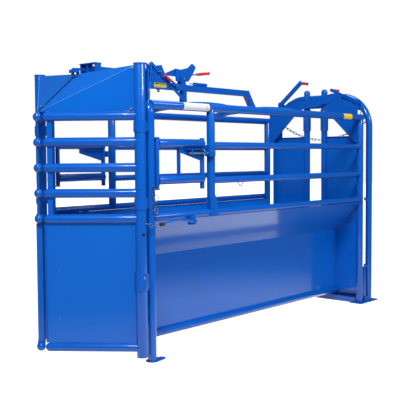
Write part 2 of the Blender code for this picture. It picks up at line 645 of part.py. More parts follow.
# Trip lever, its grip and rod, and the catch pawl
lever = Shape()
lever.side_plate(LEVER_LINE, *LEVER_Y)
LEVER_MID = sum(LEVER_Y) / 2
LEVER_STUB_R = 0.005
ROD_PIN = (0.826, 2.036)
lever_pins = Shape()
lever_pins.pipe((ROD_PIN[0], LEVER_MID, ROD_PIN[1]), (ROD_PIN[0], ROD_Y[1] + 0.002, ROD_PIN[1]), LEVER_STUB_R, 10)
grip_start, grip_end = (Vector((x, LEVER_MID, z)) for x, z in TRIP_GRIP)
lever_pins.pipe(grip_start.lerp(grip_end, -0.4), grip_start.lerp(grip_end, 0.7), LEVER_STUB_R, 10)
LEVER_BORE = pipe_cut("lever_bore", [((LEVER_X, 4 * LEVER_Y[0], LEVER_Z), (LEVER_X, -4 * LEVER_Y[0], LEVER_Z))],
                      LEVER_BORE_R)
node("trip_lever", lever, BLUE, joins=[cutter("trip_lever_pins", lever_pins)], cuts=[LEVER_BORE],
     origin=(LEVER_X, 0, LEVER_Z), smooth=False)


def grip(name, start, end, radius, stub, origin):
    """A round rubber grip, bored to go over its lever's stub."""
    start, end = Vector(start), Vector(end)
    run = (end - start).normalized()
    sleeve = Shape()
    sleeve.pipe(start, end, radius, 14)
    bore = Shape()
    bore.pipe(start - run * 0.02, start.lerp(end, 0.72), stub + PIN_PLAY + 0.0001, 12)
    node(name, sleeve, RED, cuts=[cutter(name + "_bore", bore)], origin=origin)


grip("trip_grip", grip_start, grip_end, TRIP_GRIP_R, LEVER_STUB_R, (LEVER_X, 0, LEVER_Z))

ROD_RISE_X = 0.700
ROD_BACK = ROD_PIN[0] + 0.016
ROD_HORN_Z = ROD_PIN[1] + 0.030
CATCH_PIN_R = 0.004
SLOT_HALF = LEVER_STUB_R + 0.0006
EYE_HALF = CATCH_PIN_R + 0.0006
rod = Shape()
rod.box((CATCH_X - 0.004, ROD_Y[0], ROD_Z - ROD_HALF), (ROD_BACK, ROD_Y[1], ROD_Z + ROD_HALF))
rod_ends = Shape()
rod_side = (ROD_Y[0] + 0.0002, ROD_Y[1] - 0.0002)
rod_ends.side_plate([(ROD_RISE_X, ROD_Z - 0.006), (ROD_RISE_X, ROD_Z + 0.006), (ROD_PIN[0] - 0.016, ROD_HORN_Z),
                     (ROD_BACK, ROD_HORN_Z), (ROD_BACK, ROD_Z - 0.006)], *rod_side)
rod_ends.box((CATCH_X - 0.014, rod_side[0], ROD_Z - 0.0105), (CATCH_X + 0.014, rod_side[1], ROD_Z + 0.0087))
slot = Shape()
slot.box((ROD_PIN[0] - SLOT_HALF, 0, ROD_PIN[1] - 0.0075), (ROD_PIN[0] + SLOT_HALF, 0.03, ROD_PIN[1] + 0.0190))
slot.box((CATCH_X - EYE_HALF, 0, ROD_Z - 0.007), (CATCH_X + EYE_HALF, 0.03, ROD_Z + 0.005))
node("trip_rod", rod, BLUE, joins=[cutter("rod_ends", rod_ends)], cuts=[cutter("rod_slots", slot)],
     origin=(0, 0, ROD_Z), smooth=False)

# Catch: turns on the front roller, is pulled by the rod at its upper arm, and its bar lies ahead of the lugs
CATCH_HUB = 0.0135
CATCH_ARM = 0.006
PULL_Z = ROD_Z - CATCH_Z
hub_low = CATCH_HUB * math.sin(math.radians(55.3))
hook_back, hook_front = CATCH_BAR_X - CATCH_X + 0.0055, CATCH_BAR_X - CATCH_X - 0.006
catch_line = arc((0, PULL_Z), CATCH_ARM, 0, 180, 4)
catch_line += arc((0, 0), CATCH_HUB, 120, 140, 2)
catch_line += [(hook_back, 0.002), (hook_front, -0.008), (hook_front, -0.033), (hook_back, -0.033),
               (hook_back, -hub_low)]
catch_line += arc((0, 0), CATCH_HUB, 236, 420, 8)
pawl = Shape()
pawl.side_plate([(CATCH_X + a, CATCH_Z + b) for a, b in catch_line], *CATCH_Y)
catch_bar = Shape()
catch_bar.box((CATCH_BAR_X - 0.005, -0.050, CATCH_Z - 0.032), (CATCH_BAR_X + 0.005, 0.050, CATCH_Z - 0.010))
catch_bar.pipe((CATCH_X, ROD_Y[0] - 0.002, ROD_Z), (CATCH_X, sum(CATCH_Y) / 2, ROD_Z), CATCH_PIN_R, 10)
CATCH_BORE = pipe_cut("catch_bore", [((CATCH_X, 0, CATCH_Z), (CATCH_X, 0.1, CATCH_Z))], CATCH_SHAFT_R)
node("catch_bar", pawl, BLUE, joins=[cutter("catch_cross_bar", catch_bar)], cuts=[CATCH_BORE],
     origin=(CATCH_X, 0, CATCH_Z), smooth=False)

# Front gate leaves
for s in BOTH:
    side = SIDE_NAMES[s]
    hinge = Vector((GATE_X, s * HALF_WIDTH, 0))
    out = Vector((-math.cos(GATE_LEAN), -s * math.sin(GATE_LEAN), 0))
    normal = Vector((-out.y, out.x, 0)) * s
    reach = GATE_REACH[s]
    bars = Shape()
    for z in GATE_BARS:
        bars.domed_pipe(hinge + Vector((0, 0, z)), hinge + out * reach + Vector((0, 0, z)), POST_R)
    stile = Shape()
    place = hinge + out * (reach - 0.020)
    stile.bar(place + Vector((0, 0, GATE_BARS[1])), place + Vector((0, 0, GATE_BARS[-1])), 0.036, 0.008, out)
    pipe = Shape()
    pipe_top = hinge + Vector((0, 0, GATE_PIPE_Z[1]))
    pipe.pipe(hinge + Vector((0, 0, GATE_PIPE_Z[0])), pipe_top, GATE_PIPE_R, GATE_SIDES)
    cap = Shape()
    cap.pipe(pipe_top - Vector((0, 0, 0.002)), pipe_top + Vector((0, 0, 0.004)), GATE_PIPE_R + 0.003, GATE_SIDES)
    node("gate_frame_" + side, pipe, BLUE, origin=hinge,
         joins=[cutter("gate_bars_" + side, bars), cutter("gate_stile_" + side, stile),
                cutter("gate_cap_" + side, cap)])

    low, high = GATE_BARS[0] + POST_R + WELD, GATE_BARS[1] - POST_R - WELD
    middle = Vector((0, 0, (low + high) / 2))
    panel = Shape()
    panel.bar(hinge + out * 0.020 + middle, hinge + out * (reach + SHEET_END[s]) + middle, high - low, SHEET, (0, 0, 1))
    flange = Shape()
    rib = hinge + out * (reach - 0.085) + normal * 0.0175
    edge = hinge + out * (reach + SHEET_END[s] - 0.004)
    flange.bar(edge + Vector((0, 0, low)), edge + Vector((0, 0, high)), 0.040, SHEET, normal)
    flange.bar(rib + Vector((0, 0, low)), rib + Vector((0, 0, high)), 0.038, SHEET, normal)
    node("gate_sheet_" + side, panel, BLUE, joins=[cutter("gate_flange_" + side, flange)],
         cuts=[GATE_CUT, SLEEVE_CUT], origin=hinge, smooth=False)

    hood = Shape()
    bar_top = GATE_BARS[-1] + POST_R + WELD
    nose = Vector((NOSE_X, s * SPLIT, bar_top))
    back = Vector((HOOD_BACK_X, s * SPLIT, HOOD_BACK_Z))
    top = Vector((HOOD_FOOT_X, s * HOOD_FOOT_Y, HOOD_TOP_Z))
    foot = Vector((HOOD_FOOT_X, s * HOOD_FOOT_Y, bar_top))
    outline = (nose.lerp(top, -0.03), top.lerp(foot, 1.06), top, top.lerp(back, 1.03))
    corners = [hood.mesh.verts.new(place) for place in outline]
    hood.mesh.faces.new((corners[0], corners[1], corners[2]))
    hood.mesh.faces.new((corners[0], corners[2], corners[3]))
    bmesh.ops.recalc_face_normals(hood.mesh, faces=hood.mesh.faces[:])
    bmesh.ops.solidify(hood.mesh, geom=hood.mesh.faces[:], thickness=0.003)
    fit_low = Vector((NOSE_X - 0.2, -HALF_WIDTH - 0.3, bar_top - 0.2))
    fit_high = Vector((HOOD_FOOT_X + 0.3, HALF_WIDTH + 0.3, HOOD_TOP_Z + 0.2))
    split_side = sorted((s * SPLIT, s * SPLIT - s * 0.3))
    nose_fit = Shape()
    nose_fit.box((fit_low.x, split_side[0], fit_low.z), (fit_high.x, split_side[1], fit_high.z))
    floor_fit = Shape()
    floor_fit.box(fit_low, (fit_high.x, fit_high.y, bar_top))
    trims = [cutter("hood_split_" + side, nose_fit), cutter("hood_floor_" + side, floor_fit)]
    lug = Shape()
    lug_y = sorted((s * 0.012, s * 0.042))
    lug_x = HOOD_BACK_X - 0.018
    lug.box((lug_x, lug_y[0], HOOD_BACK_Z - 0.025), (lug_x + 0.006, lug_y[1], HOOD_BACK_Z + 0.025))
    node("gate_hood_" + side, hood, BLUE, joins=[cutter("hood_lug_" + side, lug)], cuts=[GATE_CUT] + trims,
         origin=hinge, smooth=False)

# Neck doors with their hinge pins, bolts and keepers
for s in BOTH:
    side = SIDE_NAMES[s]
    y = s * HALF_WIDTH
    hinge = Vector((DOOR_X, y, 0))
    door = Shape()
    door.pipe((DOOR_X, y, DOOR_HINGE_Z[0]), (DOOR_X, y, DOOR_HINGE_Z[1]), DOOR_R, 14)
    latch_tube = Shape()
    latch_tube.pipe((LATCH_X, y, DOOR_LATCH_Z[0]), (LATCH_X, y, DOOR_LATCH_Z[1]), DOOR_R, 14)
    door_rails = Shape()
    for z in DOOR_RAIL_Z:
        door_rails.pipe((DOOR_X + 0.002, y, z), (LATCH_X + 0.004, y, z), POST_R, 14)
    rail_low = DOOR_RAIL_Z[1] - POST_R + 0.006
    tray = Shape()
    tray_y = sorted((y - s * 0.020, y + s * 0.039))
    tray.box((STILE_X + 0.055, tray_y[0], BOLT_Z + 0.025), (LATCH_X - 0.015, tray_y[1], BOLT_Z + 0.031))
    gusset = Shape()
    gusset_end = LATCH_X - 0.008
    gusset.side_plate([(STILE_X, rail_low), (gusset_end, rail_low), (gusset_end, BOLT_Z - 0.057),
                       (STILE_X, BOLT_Z + 0.007)], y - 0.003, y + 0.003)
    door_joins = [cutter("latch_tube_" + side, latch_tube), cutter("door_rails_" + side, door_rails),
                  cutter("latch_tray_" + side, tray), cutter("latch_gusset_" + side, gusset)]
    if s < 0:
        stile = Shape()
        stile.box((STILE_X - 0.003, y - 0.016, DOOR_RAIL_Z[0]), (STILE_X + 0.003, y + 0.016, DOOR_RAIL_Z[1]))
        door_joins.append(cutter("door_stile_" + side, stile))
    guides = Shape()
    guide_y = sorted((y + s * 0.013, y + s * 0.039))
    guides.box((LATCH_X - 0.014, guide_y[0], BOLT_Z - 0.014), (LATCH_X + 0.014, guide_y[1], BOLT_Z + 0.014))
    guide_x = BOLT_X[0] + 0.020
    guides.box((guide_x, guide_y[0] + 0.002, BOLT_Z - 0.013),
               (guide_x + 0.016, guide_y[1] - 0.002, BOLT_Z + 0.028))
    door_joins.append(cutter("bolt_guides_" + side, guides))
    bores = Shape()
    bores.pipe((BOLT_X[0] - 0.050, s * BOLT_Y, BOLT_Z), (BOLT_X[1] + 0.100, s * BOLT_Y, BOLT_Z),
               BOLT_R + 0.001, 12)
    pin_bore = Shape()
    pin_bore.pipe((DOOR_X, y, DOOR_HINGE_Z[0] - 0.1), (DOOR_X, y, DOOR_HINGE_Z[1] + 0.1), DOOR_PIN_R + 0.001, 12)
    bore_tool = cutter("bolt_bore_" + side, bores)
    node("neck_door_" + side, door, BLUE, joins=door_joins,
         cuts=[bore_tool, cutter("hinge_bore_" + side, pin_bore)], origin=hinge)

    lugs = Shape()
    lugs.pipe((DOOR_X, y, DOOR_HINGE_Z[0] - 0.012), (DOOR_X, y, DOOR_HINGE_Z[1] + 0.012), DOOR_PIN_R, 12)
    lug_plates = Shape()
    for z in (DOOR_HINGE_Z[0] - 0.011, DOOR_HINGE_Z[1] + TURN):
        lug_plates.box((0.010, y - 0.014, z), (DOOR_X + 0.014, y + 0.014, z + 0.0095))
    node("door_hinge_" + side, lugs, BLUE, joins=[cutter("door_lugs_" + side, lug_plates)], cuts=[FRONT_CUT])

    keeper = Shape()
    keeper_y = sorted((y - s * 0.005, y + s * 0.045))
    keeper.box((MID_X - 0.060, keeper_y[0], BOLT_Z - 0.024), (MID_X, keeper_y[1], BOLT_Z + 0.024))
    node("door_keeper_" + side, keeper, BLUE, cuts=[MID_CUT, bore_tool], smooth=False)

    bolt = Shape()
    bolt.pipe((BOLT_X[0], s * BOLT_Y, BOLT_Z), (BOLT_X[1], s * BOLT_Y, BOLT_Z), BOLT_R, 12)
    knob = Shape()
    knob.pipe((KNOB_X, s * BOLT_Y, BOLT_Z), (KNOB_X, s * (BOLT_Y + 0.034), BOLT_Z - 0.012), 0.005, 10)
    node("neck_bolt_" + side, bolt, STEEL, joins=[cutter("bolt_knob_" + side, knob)],
         origin=(KNOB_X, s * BOLT_Y, BOLT_Z))

# Tail gate panels and their levers
for s in BOTH:
    side = SIDE_NAMES[s]
    y = s * PANEL_Y
    origin = (PANEL_X, y, HEADER_Z[1] - 0.045)
    tube = Shape()
    tube.domed_pipe((PANEL_X, y, TRACK_TOP + 0.005), (PANEL_X, y, PANEL_TOP), POST_R)
    collar = Shape()
    collar.pipe((PANEL_X, y, COLLAR_Z[0]), (PANEL_X, y, COLLAR_Z[1]), COLLAR_R, 20)
    wing = Shape()
    wing_y = sorted((s * (PANEL_Y + 0.012), s * (WING_END - 0.002)))
    wing.box((PANEL_X - 0.002, wing_y[0], TRACK_FLOOR + 0.0005), (PANEL_X + 0.002, wing_y[1], SHEET_TOP))
    edges = Shape()
    edge_y = sorted((s * (WING_END - 0.004), s * WING_END))
    edges.box((PANEL_X - 0.018, edge_y[0], TRACK_TOP + 0.005), (PANEL_X + 0.018, edge_y[1], SHEET_TOP - 0.004))
    top_edge = Shape()
    top_y = sorted((s * (PANEL_Y + 0.014), s * (WING_END + 0.0005)))
    top_edge.box((PANEL_X - 0.0185, top_y[0], SHEET_TOP - 0.0055),
                 (PANEL_X + 0.0185, top_y[1], SHEET_TOP - 0.0015))
    node("tail_panel_" + side, tube, BLUE, origin=origin,
         joins=[cutter("tail_collar_" + side, collar), cutter("tail_wing_" + side, wing),
                cutter("tail_edges_" + side, edges), cutter("tail_top_edge_" + side, top_edge)])

    pivot, tip = TAIL_PIVOT[s], TAIL_TIP[s]
    middle_x = sum(TAIL_LEVER_X) / 2
    hub_at = Vector((middle_x, s * pivot[0], pivot[1]))
    tip_at = Vector((middle_x, s * tip[0], tip[1]))
    run = (tip_at - hub_at).normalized()
    hub = Shape()
    hub.pipe((TAIL_LEVER_X[0], hub_at.y, hub_at.z), (TAIL_LEVER_X[1], hub_at.y, hub_at.z), TAIL_HUB_R[s], 20)
    arm = Shape()
    across = run.cross(Vector((1, 0, 0)))
    arm.bar(hub_at - run * 0.010, tip_at + run * 0.014, TAIL_ARM_WIDTH[s], 0.0098, across)
    stub = Shape()
    stub.pipe((middle_x, tip_at.y, tip_at.z), (middle_x + 0.75 * GRIP_LENGTH, tip_at.y, tip_at.z),
              TAIL_STUB_R, 10)
    bore = pipe_cut("tail_lever_bore_" + side, [((middle_x - 0.05, hub_at.y, hub_at.z),
                                                 (middle_x + 0.05, hub_at.y, hub_at.z))], LEVER_PIN_R - 0.0002)
    node("tail_lever_" + side, hub, BLUE, origin=hub_at,
         joins=[cutter("tail_arm_" + side, arm), cutter("tail_stub_" + side, stub)], cuts=[bore])
    grip_start = (TAIL_LEVER_X[1] + WELD, tip_at.y, tip_at.z)
    grip("tail_grip_" + side, grip_start, (grip_start[0] + GRIP_LENGTH, tip_at.y, tip_at.z), GRIP_R, TAIL_STUB_R,
         hub_at)

# Lock lever beside the brace
lock_pivot = Vector((LOCK_X, LOCK_Y, LOCK_Z))
lock_run = Vector((-0.8845, 0, 0.4665)).normalized()
LOCK_STUB_R = 0.004
lock = Shape()
lock.pipe(lock_pivot - Vector((0, 0.004, 0)), lock_pivot + Vector((0, 0.004, 0)), 0.016, 16)
lock_arm = Shape()
lock_arm.bar(lock_pivot, lock_pivot + lock_run * 0.060, 0.022, 0.007, (0, 0, 1))
lock_stub = Shape()
lock_stub.pipe(lock_pivot + lock_run * 0.045, lock_pivot + lock_run * 0.116, LOCK_STUB_R, 10)
LOCK_BORE = pipe_cut("lock_bore", [((LOCK_X, -0.1, LOCK_Z), (LOCK_X, 0, LOCK_Z))], LOCK_PIN_R)
node("lock_lever", lock, BLUE, joins=[cutter("lock_arm", lock_arm), cutter("lock_stub", lock_stub)],
     cuts=[LOCK_BORE], origin=lock_pivot)
grip("lock_grip", lock_pivot + lock_run * 0.0655, lock_pivot + lock_run * 0.150, 0.012, LOCK_STUB_R, lock_pivot)
lock_pin = Shape()
lock_pin.pipe((LOCK_X, -BEAM_HALF - WELD, LOCK_Z), (LOCK_X, LOCK_Y - 0.008, LOCK_Z), LOCK_PIN_R, 12)
node("lock_pin", lock_pin, STEEL)

# Side handles on the side beams
for s in BOTH:
    side = SIDE_NAMES[s]
    y = s * HANDLE_Y
    bracket = Shape()
    outer = sorted((s * (V_BEAM_Y + 0.010), s * (V_BEAM_Y + 0.040)))
    bracket.box((HANDLE_X - 0.025, outer[0], HANDLE_Z - 0.025), (HANDLE_X + 0.025, outer[1], HANDLE_Z + 0.036))
    pivot_pin = Shape()
    pivot_pin.pipe((HANDLE_X, s * (V_BEAM_Y + 0.025), HANDLE_Z), (HANDLE_X, y + s * 0.012, HANDLE_Z),
                   HANDLE_PIN_R, 12)
    node("handle_bracket_" + side, bracket, BLUE, joins=[cutter("handle_pin_" + side, pivot_pin)],
         cuts=[V_BEAM_CUT], smooth=False)
    lever = Shape()
    lever.curve([(HANDLE_X - along, y, HANDLE_Z + rise) for along, rise in HANDLE_ARCH], HANDLE_R)
    eye = Shape()
    eye.pipe((HANDLE_X, y - 0.009, HANDLE_Z), (HANDLE_X, y + 0.009, HANDLE_Z), 0.017, 16)
    bore = pipe_cut("handle_bore_" + side, [((HANDLE_X, y - 0.1, HANDLE_Z), (HANDLE_X, y + 0.1, HANDLE_Z))],
                    HANDLE_PIN_R - 0.0001)
    node("side_handle_" + side, lever, BLUE, joins=[cutter("handle_eye_" + side, eye)], cuts=[bore],
         origin=(HANDLE_X, y, HANDLE_Z))

# The rear chain, as the band its links hang in
CHAIN_END = BOW_HALF - POST_R - WELD
chain_line = []
for step in range(13):
    across = -1 + step / 6
    chain_line.append((BOW_X, across * CHAIN_END, CHAIN_Z - CHAIN_SAG * (1 - across * across)))
chain = Shape()
chain.curve(chain_line, CHAIN_R, resolution=1)
node("rear_chain", chain, STEEL, cuts=[REAR_CUT])
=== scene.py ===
import math

import bmesh
import bpy
from mathutils import Matrix, Vector


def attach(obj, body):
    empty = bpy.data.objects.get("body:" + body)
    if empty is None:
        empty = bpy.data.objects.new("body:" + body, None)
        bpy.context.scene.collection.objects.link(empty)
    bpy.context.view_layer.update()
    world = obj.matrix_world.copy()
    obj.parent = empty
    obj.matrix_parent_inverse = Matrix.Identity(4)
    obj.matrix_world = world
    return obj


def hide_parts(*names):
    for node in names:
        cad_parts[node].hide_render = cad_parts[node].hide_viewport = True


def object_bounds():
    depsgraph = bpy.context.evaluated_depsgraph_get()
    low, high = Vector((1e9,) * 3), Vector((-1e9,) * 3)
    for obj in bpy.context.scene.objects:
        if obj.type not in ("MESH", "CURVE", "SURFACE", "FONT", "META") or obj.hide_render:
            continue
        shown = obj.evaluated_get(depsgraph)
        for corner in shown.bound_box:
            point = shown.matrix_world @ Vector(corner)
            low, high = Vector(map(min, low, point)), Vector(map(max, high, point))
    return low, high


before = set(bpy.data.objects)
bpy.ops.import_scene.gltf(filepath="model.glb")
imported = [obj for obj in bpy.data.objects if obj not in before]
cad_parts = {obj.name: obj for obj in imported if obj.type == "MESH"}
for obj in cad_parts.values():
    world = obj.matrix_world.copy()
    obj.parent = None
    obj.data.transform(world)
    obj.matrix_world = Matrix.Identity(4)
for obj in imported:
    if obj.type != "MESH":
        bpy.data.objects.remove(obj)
cad_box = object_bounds()

# Driving sizes, in metres, measured from the front bow's plane on the ground
POST_R = 0.0603 / 2
RAIL_R = 0.0483 / 2
DOOR_R = 0.0334 / 2
GATE_PIPE_R = 0.0761 / 2
SLEEVE_R = 0.0885 / 2
HALF_WIDTH = 0.535
MID_X = 0.616
TAIL_X = 2.725
BOW_X = 2.917
BOW_HALF = HALF_WIDTH - 0.015
BOW_TOP = 1.945
BOW_BEND = 0.30
RAIL_Z = 1.730
SIDE_RAIL_Z = (1.207, 1.4615)
ARCH_TOP = 1.785
ARCH_X = (0.90, 1.80)
PLATE = 0.008
V_BEAM_Y = HALF_WIDTH + 0.015
V_BEAM_Z = 0.975
BASE_Y = 0.290
BASE_Z = 0.110
GATE_X = -0.091
GATE_LEAN = math.radians(51.5)
NOSE_GAP = {-1: 0.0482, 1: 0.0083}
GATE_REACH = {s: (HALF_WIDTH - gap) / math.sin(GATE_LEAN) for s, gap in NOSE_GAP.items()}
GATE_BARS = (0.111, 0.972, 1.142, 1.311, 1.481, 1.650)
GATE_PIPE_Z = (0.045, 1.990)
SLEEVE_Z = ((0.493, 0.606), (1.033, 1.108), (1.543, 1.616))
HOOD_NOSE_X = GATE_X - HALF_WIDTH / math.tan(GATE_LEAN) + 0.0056
HOOD_BACK_X = -0.174
HOOD_BACK_Z = 1.955
HOOD_TOP_Z = 1.984
HOOD_FOOT_X = GATE_X - 0.010
HOOD_FOOT_Y = HALF_WIDTH - 0.015
HOOD_FOOT_Z = GATE_BARS[-1] + POST_R
DOOR_X = 0.062
LATCH_X = 0.520
STILE_X = 0.275
DOOR_HINGE_Z = (1.167, 1.501)
DOOR_LATCH_Z = (1.150, 1.512)
BOLT_Z = 1.405
DOOR_RAIL_Z = (1.222, 1.472)
PANEL_X = 2.797
PANEL_Y = 0.100
WING_END = HALF_WIDTH - 0.034
BEAM_HALF = 0.024
BEAM_Z = (1.900, 1.948)
TAIL_LEVER_X = (2.842, 2.852)
TAIL_TIP = {-1: (BOW_HALF - 0.372, BOW_TOP + 0.066), 1: (BOW_HALF - 0.308, BOW_TOP + 0.158)}
TAIL_GRIP = 0.120
TAIL_GRIP_R = 0.016
TRIP_GRIP = ((1.062, -0.002, 2.042), (1.213, -0.002, 2.062))
TRIP_GRIP_R = 0.0135
LOCK_PIVOT = (0.775, -0.052, 1.930)
LOCK_LINE = (-0.8845, 0, 0.4665)
LOCK_GRIP = (0.0655, 0.150)
LOCK_GRIP_R = 0.012
PANEL_Z = (0.060, 1.990)
PANEL_SHEET_Z = (0.0135, 1.564)
PANEL_EDGE = 0.018
COLLAR_Z = (1.620, 1.830)
COLLAR_R = 0.0375
CHAIN_Z = 1.700
CHAIN_SAG = 0.165
CHAIN_WIRE = 0.0026
HANDLE_Y = V_BEAM_Y + 0.052
HANDLE_Z = 0.930
BEAD_R = 0.0026
SIDE_NAMES = {-1: "near", 1: "far"}
BOTH = (-1, 1)
ROUND = 36

# The part's middle lies at the world's origin, so places move by the CAD box's rear edge
X_MAX = 2.992
SHIFT = cad_box[1].x - X_MAX


def at(x, y, z):
    return Vector((x + SHIFT, y, z))


# Materials
def new_material(name):
    material = bpy.data.materials.new(name)
    material.use_nodes = True
    nodes = material.node_tree.nodes
    return material, nodes, material.node_tree.links, nodes["Principled BSDF"]


def new_node(nodes, kind, **settings):
    made = nodes.new(kind)
    for name, value in settings.items():
        setattr(made, name, value)
    return made


def mapped(nodes, links, value, ends, starts=(0.0, 1.0)):
    """A value of 0 to 1, or of the range in starts, laid over the range in ends."""
    made = new_node(nodes, "ShaderNodeMapRange")
    for label, number in zip(("From Min", "From Max"), starts):
        made.inputs[label].default_value = number
    for label, end in zip(("To Min", "To Max"), ends):
        if isinstance(end, (int, float)):
            made.inputs[label].default_value = end
        else:
            links.new(end, made.inputs[label])
    links.new(value, made.inputs["Value"])
    return made.outputs["Result"]


def noise_node(nodes, links, coordinates, scale, detail):
    noise = nodes.new("ShaderNodeTexNoise")
    noise.inputs["Scale"].default_value = scale
    noise.inputs["Detail"].default_value = detail
    links.new(coordinates, noise.inputs["Vector"])
    return noise.outputs["Fac"]


def mixed(nodes, links, factor, first, second):
    mix = nodes.new("ShaderNodeMix")
    mix.data_type = "RGBA"
    mix.inputs["A"].default_value = (*first, 1)
    mix.inputs["B"].default_value = (*second, 1)
    links.new(factor, mix.inputs["Factor"])
    return mix.outputs["Result"]


def ranged(nodes, links, value, low, high):
    """The middle of a noise's values laid over low to high."""
    return mapped(nodes, links, value, (low, high), (0.3, 0.7))


def bumped(nodes, links, height, strength, distance, under=None):
    bump = nodes.new("ShaderNodeBump")
    bump.inputs["Strength"].default_value = strength
    bump.inputs["Distance"].default_value = distance
    links.new(height, bump.inputs["Height"])
    if under is not None:
        links.new(under, bump.inputs["Normal"])
    return bump.outputs["Normal"]


def powder_coat(name, colour, deep, wave=0.0):
    """Gloss powder coat: orange peel, uneven gloss, and for sheets the slow waves of thin plate."""
    material, nodes, links, shader = new_material(name)
    place = nodes.new("ShaderNodeTexCoord").outputs["Object"]
    tone = noise_node(nodes, links, place, 4.0, 3.0)
    links.new(mixed(nodes, links, tone, colour, deep), shader.inputs["Base Color"])
    gloss = noise_node(nodes, links, place, 11.0, 4.0)
    links.new(ranged(nodes, links, gloss, 0.28, 0.38), shader.inputs["Roughness"])
    shader.inputs["Specular IOR Level"].default_value = 0.12
    shader.inputs["Coat Weight"].default_value = 0.65
    shader.inputs["Coat Roughness"].default_value = 0.09
    peel = noise_node(nodes, links, place, 240.0, 1.0)
    normal = bumped(nodes, links, peel, 0.04, 0.0002)
    if wave:
        slow = noise_node(nodes, links, place, 2.4, 0.0)
        normal = bumped(nodes, links, slow, wave, 0.006, normal)
        links.new(bumped(nodes, links, slow, wave, 0.006), shader.inputs["Coat Normal"])
    links.new(normal, shader.inputs["Normal"])
    return material


def worn_metal(name, colour, dark, roughness):
    material, nodes, links, shader = new_material(name)
    place = nodes.new("ShaderNodeTexCoord").outputs["Object"]
    tone = noise_node(nodes, links, place, 60.0, 6.0)
    links.new(mixed(nodes, links, tone, colour, dark), shader.inputs["Base Color"])
    shader.inputs["Metallic"].default_value = 1.0
    grain = noise_node(nodes, links, place, 150.0, 4.0)
    links.new(ranged(nodes, links, grain, roughness, roughness + 0.2), shader.inputs["Roughness"])
    links.new(bumped(nodes, links, grain, 0.15, 0.0006), shader.inputs["Normal"])
    return material


def soft_plastic(name, colour, shade, roughness):
    material, nodes, links, shader = new_material(name)
    place = nodes.new("ShaderNodeTexCoord").outputs["Object"]
    tone = noise_node(nodes, links, place, 30.0, 4.0)
    links.new(mixed(nodes, links, tone, colour, shade), shader.inputs["Base Color"])
    grain = noise_node(nodes, links, place, 500.0, 3.0)
    links.new(ranged(nodes, links, grain, roughness, roughness + 0.15), shader.inputs["Roughness"])
    links.new(bumped(nodes, links, grain, 0.2, 0.0005), shader.inputs["Normal"])
    return material


BLUE = powder_coat("gloss blue powder coat", (0.0003, 0.100, 0.500), (0.0003, 0.086, 0.440))
SHEET_BLUE = powder_coat("gloss blue coat on sheet", (0.0003, 0.116, 0.540), (0.0003, 0.104, 0.490), 0.12)
# Painted shade: a near-black blue that stands for the shadow in the gap between the two hood halves.
SPLIT_SHADE_BLUE = powder_coat("painted shade in the hood split gap", (0.0003, 0.012, 0.070), (0.0003, 0.008, 0.050))
BEAD_BLUE = powder_coat("blue coat on weld beads", (0.001, 0.110, 0.520), (0.0005, 0.060, 0.360))
# Painted highlight: a light blue that stands for the light caught along the hood's fold lines.
FOLD_HIGHLIGHT_BLUE = powder_coat("painted highlight blue on hood folds", (0.060, 0.260, 0.780), (0.030, 0.190, 0.660))
ZINC = worn_metal("dull zinc plate", (0.45, 0.46, 0.48), (0.22, 0.22, 0.23), 0.35)
DARK_STEEL = worn_metal("dark bolt steel", (0.10, 0.10, 0.11), (0.03, 0.03, 0.03), 0.40)
CHAIN_STEEL = worn_metal("blued chain steel", (0.20, 0.34, 0.60), (0.04, 0.09, 0.22), 0.35)
RED = soft_plastic("red vinyl grip", (0.72, 0.020, 0.020), (0.52, 0.012, 0.012), 0.32)
BLACK = soft_plastic("black rubber", (0.016, 0.016, 0.018), (0.008, 0.008, 0.009), 0.50)
WHITE = soft_plastic("white label film", (0.80, 0.80, 0.80), (0.70, 0.71, 0.72), 0.35)
YELLOW = soft_plastic("yellow label film", (0.80, 0.62, 0.02), (0.70, 0.52, 0.02), 0.35)
PALE_INK = soft_plastic("pale grey label ink", (0.62, 0.63, 0.64), (0.74, 0.74, 0.75), 0.45)
ORANGE_INK = soft_plastic("pale orange label ink", (0.75, 0.42, 0.22), (0.80, 0.62, 0.50), 0.45)


# Shape helpers
def finish_piece(name, mesh, material, body, nodes=(), angle=35, bevel=0.0):
    piece = bpy.data.objects.new("look_" + name.replace(" ", "_"), mesh)
    bpy.context.scene.collection.objects.link(piece)
    piece.data.materials.append(material)
    if isinstance(mesh, bpy.types.Mesh):
        piece.data.shade_smooth()
        piece.data.set_sharp_from_angle(angle=math.radians(angle))
    if bevel:
        modifier = piece.modifiers.new("rounded edges", "BEVEL")
        modifier.width = bevel
        modifier.segments = 2
        modifier.limit_method = "ANGLE"
        modifier.harden_normals = True
    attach(piece, body)
    if nodes:
        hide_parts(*nodes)
    return piece


